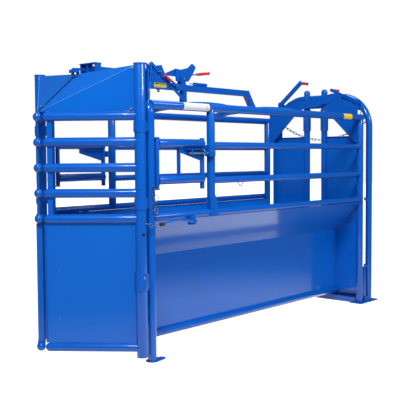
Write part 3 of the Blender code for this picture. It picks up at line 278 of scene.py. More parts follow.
class Shape:
    """Shapes of one piece, gathered in one mesh."""

    def __init__(self):
        self.mesh = bmesh.new()

    def done(self, name):
        mesh = bpy.data.meshes.new(name)
        bmesh.ops.recalc_face_normals(self.mesh, faces=self.mesh.faces)
        self.mesh.to_mesh(mesh)
        self.mesh.free()
        return mesh

    def turned(self, start, end, profile, sides=ROUND):
        """A solid turned round the line from start to end; profile holds (distance, radius) pairs."""
        start, end = Vector(start), Vector(end)
        run = (end - start).normalized()
        turn = run.to_track_quat("Z", "Y").to_matrix()
        rings = []
        for distance, radius in profile:
            ring = []
            for step in range(sides):
                angle = math.tau * step / sides
                spoke = Vector((radius * math.cos(angle), radius * math.sin(angle), distance))
                ring.append(self.mesh.verts.new(start + turn @ spoke))
            rings.append(ring)
        for low, high in zip(rings, rings[1:]):
            for step in range(sides):
                after = (step + 1) % sides
                self.mesh.faces.new((low[step], low[after], high[after], high[step]))
        self.mesh.faces.new(list(reversed(rings[0])))
        self.mesh.faces.new(rings[-1])

    def pipe(self, start, end, radius, sides=ROUND, edge=0.0012):
        length = (Vector(end) - Vector(start)).length
        corner = edge * 0.3
        profile = [(0, radius - edge), (corner, radius - corner), (edge, radius),
                   (length - edge, radius), (length - corner, radius - corner), (length, radius - edge)]
        self.turned(start, end, profile, sides)

    def domed_pipe(self, start, end, radius, dome=1.0):
        """A pipe whose end is a round nose; the nose ball's centre is at end."""
        length = (Vector(end) - Vector(start)).length
        profile = [(0, radius)]
        for step in range(11):
            angle = math.radians(88 * step / 10)
            profile.append((length + radius * dome * math.sin(angle), radius * math.cos(angle)))
        self.turned(start, end, profile)

    def box(self, low, high):
        low, high = Vector(low), Vector(high)
        place = Matrix.Translation((low + high) / 2) @ Matrix.Diagonal((*(high - low), 1))
        bmesh.ops.create_cube(self.mesh, size=1, matrix=place)

    def bar(self, start, end, width, thickness, across):
        start, end, across = Vector(start), Vector(end), Vector(across).normalized()
        run = (end - start).normalized()
        normal = run.cross(across).normalized()
        turn = Matrix((run, across, normal)).transposed().to_4x4()
        size = Matrix.Diagonal(((end - start).length, width, thickness, 1))
        place = Matrix.Translation((start + end) / 2) @ turn @ size
        bmesh.ops.create_cube(self.mesh, size=1, matrix=place)

    def slab(self, outline, thickness):
        """A flat plate: the outline's points lie in one plane, and the plate grows both ways from it."""
        points = [Vector(point) for point in outline]
        normal = Vector((0, 0, 0))
        for first, second in zip(points, points[1:] + points[:1]):
            normal += first.cross(second)
        normal.normalize()
        front = [self.mesh.verts.new(point + normal * thickness / 2) for point in points]
        back = [self.mesh.verts.new(point - normal * thickness / 2) for point in points]
        self.mesh.faces.new(front)
        self.mesh.faces.new(list(reversed(back)))
        for step in range(len(points)):
            after = (step + 1) % len(points)
            self.mesh.faces.new((front[step], back[step], back[after], front[after]))

    def bolt_head(self, centre, direction, size):
        centre, direction = Vector(centre), Vector(direction).normalized()
        self.turned(centre, centre + direction, [(0, size * 0.62), (size * 0.08, size * 0.62)], 20)
        hexagon = [(size * 0.08, size * 0.5), (size * 0.38, size * 0.5), (size * 0.42, size * 0.44)]
        self.turned(centre, centre + direction, hexagon, 6)


def wires(name, lines, radius, material, body, nodes=(), closed=False, sides=5):
    """One curve object of round wires or tubes along the lines."""
    data = bpy.data.curves.new(name, "CURVE")
    data.dimensions = "3D"
    data.bevel_depth = radius
    data.bevel_resolution = sides
    data.use_fill_caps = not closed
    for line in lines:
        spline = data.splines.new("POLY")
        spline.points.add(len(line) - 1)
        for point, place in zip(spline.points, line):
            point.co = (*place, 1)
        spline.use_cyclic_u = closed
        spline.use_smooth = True
    piece = bpy.data.objects.new("look_" + name.replace(" ", "_"), data)
    bpy.context.scene.collection.objects.link(piece)
    data.materials.append(material)
    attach(piece, body)
    if nodes:
        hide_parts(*nodes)
    return piece


def arc(centre, radius, start, stop, steps):
    points = []
    for step in range(steps + 1):
        angle = math.radians(start + (stop - start) * step / steps)
        points.append((centre[0] + radius * math.cos(angle), centre[1] + radius * math.sin(angle)))
    return points


def joint_bead(centre, out, along, small, big, steps=28):
    """The line where a pipe that leaves along out meets a bigger or equal pipe that runs along along."""
    out, along = Vector(out).normalized(), Vector(along).normalized()
    side = out.cross(along).normalized()
    line = []
    for step in range(steps):
        angle = math.tau * step / steps
        a, b = small * math.cos(angle), small * math.sin(angle)
        reach = math.sqrt(max(big * big - b * b, 0))
        line.append(Vector(centre) + along * a + side * b + out * reach)
    return line


def ring_line(centre, direction, radius, steps=28):
    turn = Vector(direction).to_track_quat("Z", "Y").to_matrix()
    line = []
    for step in range(steps):
        angle = math.tau * step / steps
        line.append(Vector(centre) + turn @ Vector((radius * math.cos(angle), radius * math.sin(angle), 0)))
    return line


def whole(line):
    return line + [(-y, z) for y, z in reversed(line)]


ROOT = "chute_frame"
X, Y, Z = Vector((1, 0, 0)), Vector((0, 1, 0)), Vector((0, 0, 1))
frame_beads = []

# Front bow with its hinge sleeves, webs and feet
bend = arc((-HALF_WIDTH + 0.085, 1.660), 0.085, 180, 95, 14)
front_line = whole([(-HALF_WIDTH, 0.002)] + bend + [(-0.060, ARCH_TOP)])
wires("front bow", [[at(0, y, z) for y, z in front_line]], POST_R, BLUE, ROOT, ["front_bow"], sides=12)
sleeves = Shape()
webs = Shape()
feet = Shape()
for s in BOTH:
    y = s * HALF_WIDTH
    for low, high in SLEEVE_Z:
        inner = GATE_PIPE_R + 0.0006
        edge = 0.002
        length = high - low
        ring = [(0, inner), (0, SLEEVE_R - edge), (edge, SLEEVE_R), (length - edge, SLEEVE_R),
                (length, SLEEVE_R - edge), (length, inner)]
        sleeves.turned(at(GATE_X, y, low), at(GATE_X, y, high), ring, 44)
        webs.box(at(GATE_X + 0.030, y - 0.012, low + 0.008), at(-0.012, y + 0.012, high - 0.008))
        for edge_z in (low + 0.008, high - 0.008):
            for offset in (-0.012, 0.012):
                frame_beads.append([at(GATE_X + SLEEVE_R - 0.001, y + offset, edge_z),
                                    at(-POST_R + 0.002, y + offset, edge_z)])
    frame_beads.append(ring_line(at(0, y, PLATE), Z, POST_R) + [ring_line(at(0, y, PLATE), Z, POST_R)[0]])
    foot = arc((0, y), 0.045, 90, 270, 20) + arc((0.088, y), 0.030, -90, 90, 14)
    feet.slab([at(a, b, PLATE / 2) for a, b in foot], PLATE)
finish_piece("hinge sleeves", sleeves.done("hinge sleeves"), BLUE, ROOT)
finish_piece("sleeve webs", webs.done("sleeve webs"), BLUE, ROOT, bevel=0.0015)
finish_piece("front foot plates", feet.done("front foot plates"), BLUE, ROOT, bevel=0.0012)

# Rear bow
half = [(-BOW_HALF, PLATE)] + arc((-BOW_HALF + BOW_BEND, BOW_TOP - BOW_BEND), BOW_BEND, 180, 90, 24)
wires("rear bow", [[at(BOW_X, y, z) for y, z in whole(half)]], POST_R, BLUE, ROOT, ["rear_bow"], sides=12)

# Straight pipes of the standing frame
for s in BOTH:
    side = SIDE_NAMES[s]
    y = s * HALF_WIDTH
    rail = Shape()
    rail.pipe(at(0.006, y, RAIL_Z), at(TAIL_X + POST_R, y, RAIL_Z), POST_R)
    finish_piece("top rail " + side, rail.done("top rail"), BLUE, ROOT, ["top_rail_" + side])
    post = Shape()
    post.pipe(at(MID_X, y, V_BEAM_Z + 0.004), at(MID_X, y, RAIL_Z - 0.005), POST_R)
    finish_piece("mid post " + side, post.done("mid post"), BLUE, ROOT, ["mid_post_" + side])
    post = Shape()
    post.pipe(at(TAIL_X, y, PLATE), at(TAIL_X, y, RAIL_Z - 0.005), POST_R)
    finish_piece("rear post " + side, post.done("rear post"), BLUE, ROOT, ["rear_post_" + side])
    for name, z in zip(("lower", "upper"), SIDE_RAIL_Z):
        rail = Shape()
        rail.pipe(at(MID_X + 0.010, y, z), at(TAIL_X - 0.010, y, z), RAIL_R)
        finish_piece(name + " rail " + side, rail.done("side rail"), BLUE, ROOT, [name + "_rail_" + side])
        frame_beads.append(joint_bead(at(MID_X, y, z), X, Z, RAIL_R, POST_R))
        frame_beads.append(joint_bead(at(TAIL_X, y, z), -X, Z, RAIL_R, POST_R))
    beam = Shape()
    beam.pipe(at(0.010, s * V_BEAM_Y, V_BEAM_Z), at(TAIL_X - 0.010, s * V_BEAM_Y, V_BEAM_Z), RAIL_R)
    finish_piece("side beam " + side, beam.done("side beam"), BLUE, ROOT, ["side_beam_" + side])
    beam = Shape()
    beam.pipe(at(-0.020, s * BASE_Y, BASE_Z), at(TAIL_X + 0.020, s * BASE_Y, BASE_Z), POST_R)
    finish_piece("base beam " + side, beam.done("base beam"), BLUE, ROOT, ["base_beam_" + side])
    frame_beads.append(joint_bead(at(MID_X, y, RAIL_Z), -Z, X, POST_R * 0.999, POST_R))
    frame_beads.append(joint_bead(at(TAIL_X, y, RAIL_Z), -Z, X, POST_R * 0.999, POST_R))
    frame_beads.append(ring_line(at(TAIL_X, y, PLATE), Z, POST_R))
    frame_beads.append(ring_line(at(BOW_X, s * BOW_HALF, PLATE), Z, POST_R))
    frame_beads.append(joint_bead(at(0, s * V_BEAM_Y, V_BEAM_Z), X, Z, RAIL_R, POST_R * 0.98))
    frame_beads.append(joint_bead(at(TAIL_X, s * V_BEAM_Y, V_BEAM_Z), -X, Z, RAIL_R, POST_R * 0.98))

# Cross arches
arch = whole([(-HALF_WIDTH + 0.010, RAIL_Z + 0.002), (-0.46, 1.744), (-0.384, 1.760), (-0.26, 1.776),
              (-0.12, ARCH_TOP)])
for name, x in zip(("front", "rear"), ARCH_X):
    wires("cross arch " + name, [[at(x, y, z) for y, z in arch]], RAIL_R, BLUE, ROOT, ["cross_arch_" + name],
          sides=10)
    for s in BOTH:
        frame_beads.append(joint_bead(at(x, s * HALF_WIDTH, RAIL_Z), -s * Y, X, RAIL_R, POST_R))
wires("frame weld beads", frame_beads, BEAD_R, BEAD_BLUE, ROOT, closed=True, sides=1)

# Front gate leaves: pipe, domed bars and nose stile
for s in BOTH:
    side = SIDE_NAMES[s]
    body = "front_gate_" + side
    out = Vector((-math.cos(GATE_LEAN), -s * math.sin(GATE_LEAN), 0))
    reach = GATE_REACH[s]
    leaf = Shape()
    hub = at(GATE_X, s * HALF_WIDTH, 0)
    top = hub + Z * GATE_PIPE_Z[1]
    leaf.pipe(hub + Z * GATE_PIPE_Z[0], top, GATE_PIPE_R, edge=0.002)
    beads = []
    for z in GATE_BARS:
        hinge = hub + Z * z
        leaf.domed_pipe(hinge + out * 0.010, hinge + out * reach, POST_R)
        beads.append(joint_bead(hinge, out, Z, POST_R, GATE_PIPE_R))
    for low, high in zip(GATE_BARS[1:], GATE_BARS[2:]):
        place = hub + out * (reach - 0.018)
        leaf.bar(place + Z * (low + 0.010), place + Z * (high - 0.010), 0.036, 0.008, out)
    leaf.turned(top - Z * 0.002, top + Z, [(0, GATE_PIPE_R + 0.002), (0.001, GATE_PIPE_R + 0.003),
                                           (0.005, GATE_PIPE_R + 0.003), (0.006, GATE_PIPE_R + 0.002)])
    finish_piece("gate leaf " + side, leaf.done("gate leaf"), BLUE, body, ["gate_frame_" + side])
    wires("gate weld beads " + side, beads, BEAD_R, BEAD_BLUE, body, closed=True, sides=1)

# Neck doors
for s in BOTH:
    side = SIDE_NAMES[s]
    body = "door_" + side
    y = s * HALF_WIDTH
    door = Shape()
    door.pipe(at(DOOR_X, y, DOOR_HINGE_Z[0]), at(DOOR_X, y, DOOR_HINGE_Z[1]), DOOR_R)
    door.pipe(at(LATCH_X, y, DOOR_LATCH_Z[0]), at(LATCH_X, y, DOOR_LATCH_Z[1]), DOOR_R)
    beads = []
    for z in DOOR_RAIL_Z:
        door.pipe(at(DOOR_X + 0.004, y, z), at(LATCH_X + 0.004, y, z), POST_R)
        for x, turn in ((DOOR_X, 1), (LATCH_X, -1)):
            for level in (z - POST_R, z + POST_R):
                beads.append(ring_line(at(x, y, level), Z, DOOR_R))
    finish_piece("neck door " + side, door.done("neck door"), BLUE, body, ["neck_door_" + side])
    wires("door weld beads " + side, beads, 0.002, BEAD_BLUE, body, closed=True, sides=1)
    plates = Shape()
    rail_low = DOOR_RAIL_Z[1] - POST_R + 0.006
    latch = LATCH_X - 0.008
    gusset = [(STILE_X, rail_low), (latch, rail_low), (latch, 1.348), (STILE_X, 1.412)]
    plates.slab([at(x, y, z) for x, z in gusset], 0.006)
    tray_y = sorted((y - s * 0.020, y + s * 0.039))
    plates.box(at(0.330, tray_y[0], 1.430), at(LATCH_X - 0.015, tray_y[1], 1.436))
    guide_y = sorted((y + s * 0.013, y + s * 0.039))
    guide = 0.014
    plates.box(at(LATCH_X - guide, guide_y[0], BOLT_Z - guide),
               at(LATCH_X + guide, guide_y[1], BOLT_Z + guide))
    plates.box(at(0.372, guide_y[0] + 0.002, BOLT_Z - 0.013), at(0.388, guide_y[1] - 0.002, 1.433))
    if s < 0:
        plates.box(at(STILE_X - 0.003, y - 0.016, DOOR_RAIL_Z[0] + 0.02),
                   at(STILE_X + 0.003, y + 0.016, DOOR_RAIL_Z[1] - 0.02))
    finish_piece("door plates " + side, plates.done("door plates"), BLUE, body, bevel=0.0008)

# Tail gate panels: tube with its guide collar, sheet and folded edges
for s in BOTH:
    side = SIDE_NAMES[s]
    body = "tail_gate_" + side
    panel = Shape()
    foot = at(PANEL_X, s * PANEL_Y, 0)
    panel.domed_pipe(foot + Z * PANEL_Z[0], foot + Z * PANEL_Z[1], POST_R)
    collar_length = COLLAR_Z[1] - COLLAR_Z[0]
    collar = [(0, COLLAR_R - 0.004), (0.006, COLLAR_R), (collar_length - 0.006, COLLAR_R),
              (collar_length, COLLAR_R - 0.004)]
    panel.turned(foot + Z * COLLAR_Z[0], foot + Z * COLLAR_Z[1], collar)
    finish_piece("tail tube " + side, panel.done("tail tube"), BLUE, body, ["tail_panel_" + side])
    wing = Shape()
    wing_y = sorted((s * (PANEL_Y + 0.012), s * (WING_END - 0.002)))
    sheet_low, sheet_high = PANEL_SHEET_Z
    wing.box(at(PANEL_X - 0.002, wing_y[0], sheet_low), at(PANEL_X + 0.002, wing_y[1], sheet_high))
    edge_y = sorted((s * (WING_END - 0.004), s * WING_END))
    edge_top = sheet_high - 0.004
    wing.box(at(PANEL_X - PANEL_EDGE, edge_y[0], PANEL_Z[0]), at(PANEL_X + PANEL_EDGE, edge_y[1], edge_top))
    top_y = sorted((s * (PANEL_Y + 0.014), s * (WING_END + 0.0005)))
    fold = PANEL_EDGE + 0.0005
    wing.box(at(PANEL_X - fold, top_y[0], edge_top - 0.0015), at(PANEL_X + fold, top_y[1], edge_top + 0.0025))
    finish_piece("tail sheet " + side, wing.done("tail sheet"), SHEET_BLUE, body, bevel=0.0008)


# Hand grips: slim at the lever, full in the hand, with a knob at the end
GRIP_PROFILE = [(0, 0.70), (0.02, 0.78), (0.10, 0.80), (0.35, 0.93), (0.60, 0.86), (0.78, 0.74),
                (0.84, 0.80), (0.90, 0.96), (0.94, 1.0), (0.97, 0.93), (0.99, 0.72), (1.0, 0.50)]


def grip_shape(name, start, end, radius, body, node_name):
    """A turned grip; the profile's pairs are shares of its length and of its greatest radius."""
    length = (end - start).length
    grip = Shape()
    grip.turned(start, end, [(length * share, radius * size) for share, size in GRIP_PROFILE], 32)
    finish_piece(name, grip.done(name), RED, body, [node_name], angle=60)


for s in BOTH:
    side = SIDE_NAMES[s]
    tip = TAIL_TIP[s]
    low = at(TAIL_LEVER_X[1] + 0.0004, s * tip[0], tip[1])
    grip_shape("tail grip " + side, low, low + X * TAIL_GRIP, TAIL_GRIP_R, "tail_arm_" + side,
               "tail_grip_" + side)
grip_shape("trip grip", at(*TRIP_GRIP[0]), at(*TRIP_GRIP[1]), TRIP_GRIP_R, "trip", "trip_grip")
lock_run = Vector(LOCK_LINE).normalized()
lock_ends = [at(*LOCK_PIVOT) + lock_run * distance for distance in LOCK_GRIP]
grip_shape("lock grip", *lock_ends, LOCK_GRIP_R, "lock", "lock_grip")

# CAD pieces that keep their shape: finish and rounded edges
SHEETS = ("gate_sheet_", "gate_hood_", "side_panel_")
KEEP_BLUE = ["rear_base", "tail_header", "overhead_beam", "hinge_tie", "catch_box", "trip_stand",
             "spring_housing", "diagonal_brace", "trip_lever", "trip_rod", "catch_bar", "lock_lever"]
for s in BOTH:
    side = SIDE_NAMES[s]
    KEEP_BLUE += [stem + side for stem in SHEETS]
    KEEP_BLUE += [stem + side for stem in ("door_hinge_", "door_keeper_", "handle_bracket_",
                                           "side_handle_", "tail_lever_")]
KEEP = {name: BLUE for name in KEEP_BLUE}
for name in KEEP_BLUE:
    if name.startswith(SHEETS):
        KEEP[name] = SHEET_BLUE
for side in ("near", "far"):
    KEEP["neck_bolt_" + side] = ZINC
KEEP["lock_pin"] = ZINC
for name, material in KEEP.items():
    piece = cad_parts[name]
    piece.data.materials.clear()
    piece.data.materials.append(material)
    piece.data.shade_smooth()
    piece.data.set_sharp_from_angle(angle=math.radians(40))
    modifier = piece.modifiers.new("rounded edges", "BEVEL")
    modifier.width = 0.0008
    modifier.segments = 2
    modifier.limit_method = "ANGLE"
    modifier.angle_limit = math.radians(50)
    modifier.harden_normals = True


# Chains
def hanging(start, end, sag, count=200):
    """Points of a line that hangs between two places."""
    start, end = Vector(start), Vector(end)
    line = []
    for step in range(count + 1):
        share = step / count
        place = start.lerp(end, share)
        place.z -= sag * 4 * share * (1 - share)
        line.append(place)
    return line


def link_lines(line, pitch, wire):
    """Closed lines of oval links, each turned a quarter from the last, along a line of points."""
    count = len(line) - 1
    lengths = [0.0]
    for first, second in zip(line, line[1:]):
        lengths.append(lengths[-1] + (second - first).length)
    links = max(1, round(lengths[-1] / pitch))
    stride = lengths[-1] / links

    def along(distance):
        for index in range(count):
            if distance <= lengths[index + 1] or index == count - 1:
                share = (distance - lengths[index]) / (lengths[index + 1] - lengths[index])
                return line[index].lerp(line[index + 1], share)

    made = []
    for index in range(links):
        low, high = along(index * stride), along((index + 1) * stride)
        run = (high - low).normalized()
        level = run.cross(Z) if abs(run.z) < 0.9 else run.cross(Y)
        level.normalize()
        width = level if index % 2 == 0 else run.cross(level)
        centre = (low + high) / 2
        bend_r = wire * 1.6
        half_run = (stride + wire) / 2 + wire / 2 - bend_r
        loop = []
        for sign in (1, -1):
            for a, b in arc((0, 0), bend_r, -90 if sign > 0 else 90, 90 if sign > 0 else 270, 6):
                loop.append(centre + run * (sign * half_run + a) + width * b)
        made.append(loop)
    return made


chain_end = BOW_HALF - POST_R - 0.004
rear_line = hanging(at(BOW_X, -chain_end, CHAIN_Z), at(BOW_X, chain_end, CHAIN_Z), CHAIN_SAG)
wires("rear safety chain", link_lines(rear_line, 0.040, 0.0055), CHAIN_WIRE, CHAIN_STEEL, ROOT,
      ["rear_chain"], closed=True, sides=3)

# Short chain from the near hinge pipe to the end of the side handle, and one that hangs on the front post
handle_y = -HANDLE_Y
short_line = hanging(at(GATE_X - 0.002, -HALF_WIDTH - GATE_PIPE_R - 0.008, 0.945),
                     at(0.018, handle_y, HANDLE_Z - 0.004), 0.010)
wires("handle chain", link_lines(short_line, 0.026, 0.007), 0.0020, CHAIN_STEEL, ROOT, closed=True, sides=3)
post_front = -HALF_WIDTH - POST_R - 0.008
drop_line = hanging(at(-0.012, post_front, 1.185), at(-0.004, post_front, 0.990), 0.0)
wires("post chain", link_lines(drop_line, 0.030, 0.008), 0.0022, CHAIN_STEEL, ROOT, closed=True, sides=3)
rings = []
for z, size in ((1.105, 0.022), (1.020, 0.018)):
    round_line = arc((0.012, z), size, 0, 345, 23)
    rings.append([at(a, post_front, b) for a, b in round_line])
wires("post chain rings", rings, CHAIN_WIRE, ZINC, ROOT, closed=True, sides=3)
grip_end = Shape()
grip_end.pipe(at(0.022, handle_y, HANDLE_Z), at(0.056, handle_y, HANDLE_Z), 0.013, edge=0.002)
finish_piece("handle end sleeve", grip_end.done("handle end sleeve"), BLACK, "handle_near")


# Labels, all blank
def wrapped_label(name, ends, half_angle, material, lift):
    """Film laid round the near side of the near top rail, from one end to the other along X."""
    film = Shape()
    rows = []
    low_x, high_x = ends
    for step in range(13):
        angle = math.radians(half_angle * (step / 6 - 1))
        spoke = (-math.cos(angle), math.sin(angle))
        outer, inner = [(spoke[0] * radius - HALF_WIDTH, spoke[1] * radius + RAIL_Z)
                        for radius in (POST_R + lift, POST_R)]
        corners = (low_x, *outer), (high_x, *outer), (high_x, *inner), (low_x, *inner)
        rows.append([film.mesh.verts.new(at(*corner)) for corner in corners])
    for low, high in zip(rows, rows[1:]):
        for step in range(4):
            after = (step + 1) % 4
            film.mesh.faces.new((low[step], low[after], high[after], high[step]))
    film.mesh.faces.new(rows[0])
    film.mesh.faces.new(list(reversed(rows[-1])))
    finish_piece(name, film.done(name), material, ROOT)


rail_labels = (("white rail label", (0.308, 0.575), 56, WHITE, 0.0004),
               ("label panel", (0.318, 0.512), 40, PALE_INK, 0.0007),
               ("label spot", (0.524, 0.562), 34, ORANGE_INK, 0.0007),
               ("yellow rail label", (2.401, 2.538), 52, YELLOW, 0.0004))
for name, ends, half_angle, film, lift in rail_labels:
    wrapped_label(name, ends, half_angle, film, lift)
beam_face = -BEAM_HALF
ink_face = beam_face - 0.0010
ink_back = beam_face - 0.0004
beam_label = Shape()
beam_label.box(at(0.554, beam_face - 0.0006, 1.911), at(0.684, beam_face, 1.944))
finish_piece("beam label", beam_label.done("beam label"), YELLOW, ROOT)
beam_ink = Shape()
beam_ink.box(at(0.560, ink_face, 1.9335), at(0.678, ink_back, 1.9415))
for step in range(5):
    x = 0.562 + 0.024 * step
    beam_ink.box(at(x, ink_face, 1.924), at(x + 0.016, ink_back, 1.927))
    beam_ink.box(at(x + 0.003, ink_face, 1.917), at(x + 0.018, ink_back, 1.920))
finish_piece("beam label bars", beam_ink.done("beam label bars"), BLACK, ROOT)

# Bolts and small fittings of the frame
steel = Shape()
beam_stud = at(0.612, 0.014 - BEAM_HALF, 0)
steel.pipe(beam_stud + Z * 1.874, beam_stud + Z * BEAM_Z[0], 0.006)
steel.bolt_head(beam_stud + Z * BEAM_Z[0], -Z, 0.026)
steel.bolt_head(beam_stud + Z * 1.884, -Z, 0.020)
for x in (0.566, 0.604):
    steel.bolt_head(at(x, -HALF_WIDTH - 0.045, BOLT_Z + 0.014), -Y, 0.012)
steel.bolt_head(at(0.606, -0.042, 2.028), -Y, 0.016)
for x, z in ((0.540, 2.020), (0.652, 1.985)):
    steel.bolt_head(at(x, -0.0225, z), -Y, 0.012)
steel.bolt_head(at(0.883, -0.028, 1.994), -Y, 0.016)
finish_piece("frame bolts", steel.done("frame bolts"), ZINC, ROOT)
fittings = Shape()
clip_y = -HALF_WIDTH - POST_R
fittings.box(at(MID_X - 0.033, clip_y - 0.003, V_BEAM_Z + 0.016), at(MID_X + 0.033, clip_y + 0.016, 1.060))
fittings.slab([at(MID_X - 0.033, clip_y - 0.0015, 1.058), at(MID_X + 0.033, clip_y - 0.0015, 1.058),
               at(MID_X + 0.010, clip_y - 0.0015, 1.104)], 0.003)
beam_front = -V_BEAM_Y - RAIL_R
fittings.box(at(MID_X - 0.020, beam_front - 0.005, V_BEAM_Z - 0.022),
             at(MID_X + 0.034, beam_front + 0.010, V_BEAM_Z + 0.024))
fittings.box(at(MID_X - 0.060, beam_front - 0.005, V_BEAM_Z - 0.022),
             at(MID_X - 0.020, beam_front + 0.006, V_BEAM_Z - 0.010))
foot_x = BOW_X - 0.078
fittings.box(at(foot_x - 0.020, -BOW_HALF - 0.006, PLATE - 0.001),
             at(foot_x + 0.020, -BOW_HALF + 0.006, 0.330))
# Lugs on the rear post and the bow, with the way of the tail sheet left free between them
lug_space = BOW_X - TAIL_X - 2 * POST_R
free = [(PANEL_X + turn * 0.024 - TAIL_X - POST_R) / lug_space for turn in BOTH]
for high in (0.372, 1.000):
    start = at(TAIL_X + POST_R - 0.004, -HALF_WIDTH, high)
    end = at(BOW_X - POST_R + 0.004, -BOW_HALF, high - 0.050)
    for first, last in ((0, free[0]), (free[1], 1)):
        fittings.bar(start.lerp(end, first), start.lerp(end, last), 0.029, 0.008, Z)
fittings.bar(at(TAIL_X + 0.010, -HALF_WIDTH, RAIL_Z + 0.020), at(BOW_X - 0.012, -BOW_HALF + 0.075, 1.868),
             0.030, 0.008, Z)
finish_piece("frame clips and lugs", fittings.done("frame clips and lugs"), BLUE, ROOT, bevel=0.0012)
hook = [at(0.925, -HALF_WIDTH, SIDE_RAIL_Z[0] - RAIL_R)]
hook += [at(a, -HALF_WIDTH, b) for a, b in arc((0.958, 1.168), 0.014, 180, 360, 9)]
hook.append(at(0.992, -HALF_WIDTH, SIDE_RAIL_Z[0] - RAIL_R))
wires("rail hook", [hook], 0.003, BLUE, ROOT, sides=4)

# Fittings of the gate leaves
for s in BOTH:
    side = SIDE_NAMES[s]
    body = "front_gate_" + side
    out = Vector((-math.cos(GATE_LEAN), -s * math.sin(GATE_LEAN), 0))
    normal = Vector((-out.y, out.x, 0)) * s
    if normal.x > 0:
        normal = -normal
    nose = at(HOOD_NOSE_X, 0, HOOD_FOOT_Z)
    top = at(HOOD_FOOT_X, s * HOOD_FOOT_Y, HOOD_TOP_Z)
    back = at(HOOD_BACK_X, 0, HOOD_BACK_Z)
    foot = at(HOOD_FOOT_X, s * HOOD_FOOT_Y, HOOD_FOOT_Z)
    lift = normal * 0.0010
    # A light blue wire along each fold line of the hood: a painted highlight where the fold catches the
    # light.
    fold = [nose.lerp(top, 0.03) + lift + Y * s * 0.004, nose.lerp(top, 0.97) + lift]
    wires("hood fold painted highlight " + side, [fold], 0.0026, FOLD_HIGHLIGHT_BLUE, body, sides=4)
    # A dark strip laid along the split between the gate leaves' hoods: painted shade of the gap between the
    # two hood halves.
    split_shade = Shape()
    split_shade_place = Vector((-0.0009, s * 0.0045, 0.0012))
    split_shade.bar(nose.lerp(back, 0.03) + split_shade_place, nose.lerp(back, 0.97) + split_shade_place, 0.005, 0.0012, Y)
    finish_piece("hood split painted shade " + side, split_shade.done("hood split painted shade"), SPLIT_SHADE_BLUE, body)
    small = Shape()
    for share in (0.08, 0.50, 0.88):
        spot = foot.lerp(nose, share) + normal * 0.001 + Z * 0.002
        small.pipe(spot, spot + out * 0.055, 0.004, 10)
    finish_piece("hood stitch welds " + side, small.done("hood stitch welds"), BEAD_BLUE, body)
    pins = Shape()
    hub = at(GATE_X, s * HALF_WIDTH, 0)
    pins.bolt_head(foot + out * 0.040 + normal * 0.003 + Z * 0.016, normal, 0.014)
    pins.bolt_head(top + out * 0.030 + normal * 0.002 - Z * 0.022, normal, 0.014)
    beside_seam = Vector((-0.004, s * 0.020, 0.006))
    for share, size in ((0.12, 0.012), (0.92, 0.016)):
        pins.bolt_head(nose.lerp(back, share) + beside_seam, Vector((-0.6, 0, 0.8)), size)
    for level in (0.30, 0.62):
        pins.bolt_head(hub + out * (GATE_REACH[s] - 0.070) + normal * 0.002 + Z * level, normal, 0.008)
    finish_piece("hood and sheet bolts " + side, pins.done("hood bolts"), ZINC, body)

# Grease nipple on the lowest near sleeve and a bolt in the near gate pipe, both clear of the open leaf
nipple = Shape()
outwards = Vector((-0.33, -0.944, 0.0))
base = at(GATE_X, -HALF_WIDTH, SLEEVE_Z[0][1] - 0.022)
nipple_profile = [(-0.004, 0.007), (0.004, 0.007), (0.005, 0.0042), (0.011, 0.0042), (0.0125, 0.0056),
                  (0.016, 0.003)]
nipple.turned(base + outwards * SLEEVE_R, base + outwards, nipple_profile, 16)
finish_piece("grease nipple", nipple.done("grease nipple"), ZINC, ROOT)
stop_bolt = Shape()
stop_bolt.bolt_head(at(GATE_X, -HALF_WIDTH, 0.868) + outwards * (GATE_PIPE_R - 0.001), outwards, 0.018)
finish_piece("gate pipe bolt", stop_bolt.done("gate pipe bolt"), DARK_STEEL, "front_gate_near")

# Camera at the photograph's place
EYE = (-3.653, -4.243, 1.382)
YAW = math.radians(48.203)
PITCH = math.radians(3.2186)
ROLL = math.radians(-0.386)
forward = Vector((math.sin(YAW) * math.cos(PITCH), math.cos(YAW) * math.cos(PITCH), -math.sin(PITCH)))
level = Vector((math.cos(YAW), -math.sin(YAW), 0))
up = level.cross(forward)
right = level * math.cos(ROLL) + up * math.sin(ROLL)
top = up * math.cos(ROLL) - level * math.sin(ROLL)
camera = bpy.data.objects.new("camera", bpy.data.cameras.new("camera"))
camera.data.lens = 70.02
camera.data.sensor_width = 36
camera.matrix_world = Matrix.Translation(at(*EYE)) @ Matrix((right, top, -forward)).transposed().to_4x4()
bpy.context.scene.collection.objects.link(camera)
bpy.context.scene.camera = camera


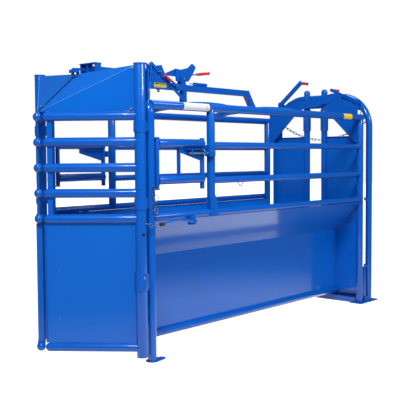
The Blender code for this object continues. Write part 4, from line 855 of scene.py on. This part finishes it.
# Pale floor and studio light
def floor_material():
    """A floor that is white to the camera and, in reflections, a pool of light round the chute."""
    material, nodes, links, shader = new_material("white studio floor")
    shader.inputs["Base Color"].default_value = (0.60, 0.60, 0.60, 1)
    shader.inputs["Roughness"].default_value = 0.7
    shader.inputs["Specular IOR Level"].default_value = 0.2
    path = new_node(nodes, "ShaderNodeLightPath")
    spot = new_node(nodes, "ShaderNodeTexCoord")
    distance = new_node(nodes, "ShaderNodeVectorMath", operation="LENGTH")
    links.new(spot.outputs["Object"], distance.inputs[0])
    pool = mapped(nodes, links, distance.outputs["Value"], (1.60, 0.16), (1.5, 3.4))
    glow = new_node(nodes, "ShaderNodeEmission")
    links.new(mapped(nodes, links, path.outputs["Is Glossy Ray"], (1.5, pool)), glow.inputs["Strength"])
    seen = new_node(nodes, "ShaderNodeMath", operation="MULTIPLY")
    seen.inputs[1].default_value = 0.90
    links.new(path.outputs["Is Camera Ray"], seen.inputs[0])
    share = new_node(nodes, "ShaderNodeMath", operation="ADD", use_clamp=True)
    links.new(seen.outputs[0], share.inputs[0])
    links.new(path.outputs["Is Glossy Ray"], share.inputs[1])
    both = new_node(nodes, "ShaderNodeMixShader")
    links.new(share.outputs[0], both.inputs["Fac"])
    links.new(shader.outputs["BSDF"], both.inputs[1])
    links.new(glow.outputs["Emission"], both.inputs[2])
    links.new(both.outputs["Shader"], nodes["Material Output"].inputs["Surface"])
    return material


def studio_world():
    """Dim room light for the chute, dimmer still in reflections, and white to the camera."""
    world = bpy.data.worlds.new("studio")
    world.use_nodes = True
    nodes, links = world.node_tree.nodes, world.node_tree.links
    room = nodes["Background"]
    room.inputs["Color"].default_value = (0.90, 0.95, 1.0, 1)
    backdrop = new_node(nodes, "ShaderNodeBackground")
    backdrop.inputs["Color"].default_value = (1, 1, 1, 1)
    path = new_node(nodes, "ShaderNodeLightPath")
    links.new(mapped(nodes, links, path.outputs["Is Glossy Ray"], (0.30, 0.06)), room.inputs["Strength"])
    both = new_node(nodes, "ShaderNodeMixShader")
    links.new(path.outputs["Is Camera Ray"], both.inputs["Fac"])
    links.new(room.outputs["Background"], both.inputs[1])
    links.new(backdrop.outputs["Background"], both.inputs[2])
    links.new(both.outputs["Shader"], nodes["World Output"].inputs["Surface"])
    return world


floor_mesh = Shape()
floor_mesh.box((-30, -30, -0.05), (30, 30, -0.0005))
floor = bpy.data.objects.new("floor", floor_mesh.done("floor"))
bpy.context.scene.collection.objects.link(floor)
floor.data.materials.append(floor_material())
bpy.context.scene.world = studio_world()


def lamp(name, place, target, size, power):
    data = bpy.data.lights.new(name, "AREA")
    data.shape = "RECTANGLE"
    data.size, data.size_y = size
    data.energy = power
    light = bpy.data.objects.new(name, data)
    light.location = place
    light.rotation_euler = (Vector(target) - Vector(place)).to_track_quat("-Z", "Y").to_euler()
    bpy.context.scene.collection.objects.link(light)


lamp("key", (-4.5, -3.0, 5.6), (-0.4, 0, 0.9), (2.2, 0.8), 400)
lamp("fill", (1.0, -6.5, 4.6), (0.4, 0, 0.9), (3.2, 0.9), 210)
lamp("top", (0.5, 0.5, 6.5), (0.3, 0, 1), (4, 1.6), 150)
bpy.context.scene.view_settings.view_transform = "Standard"
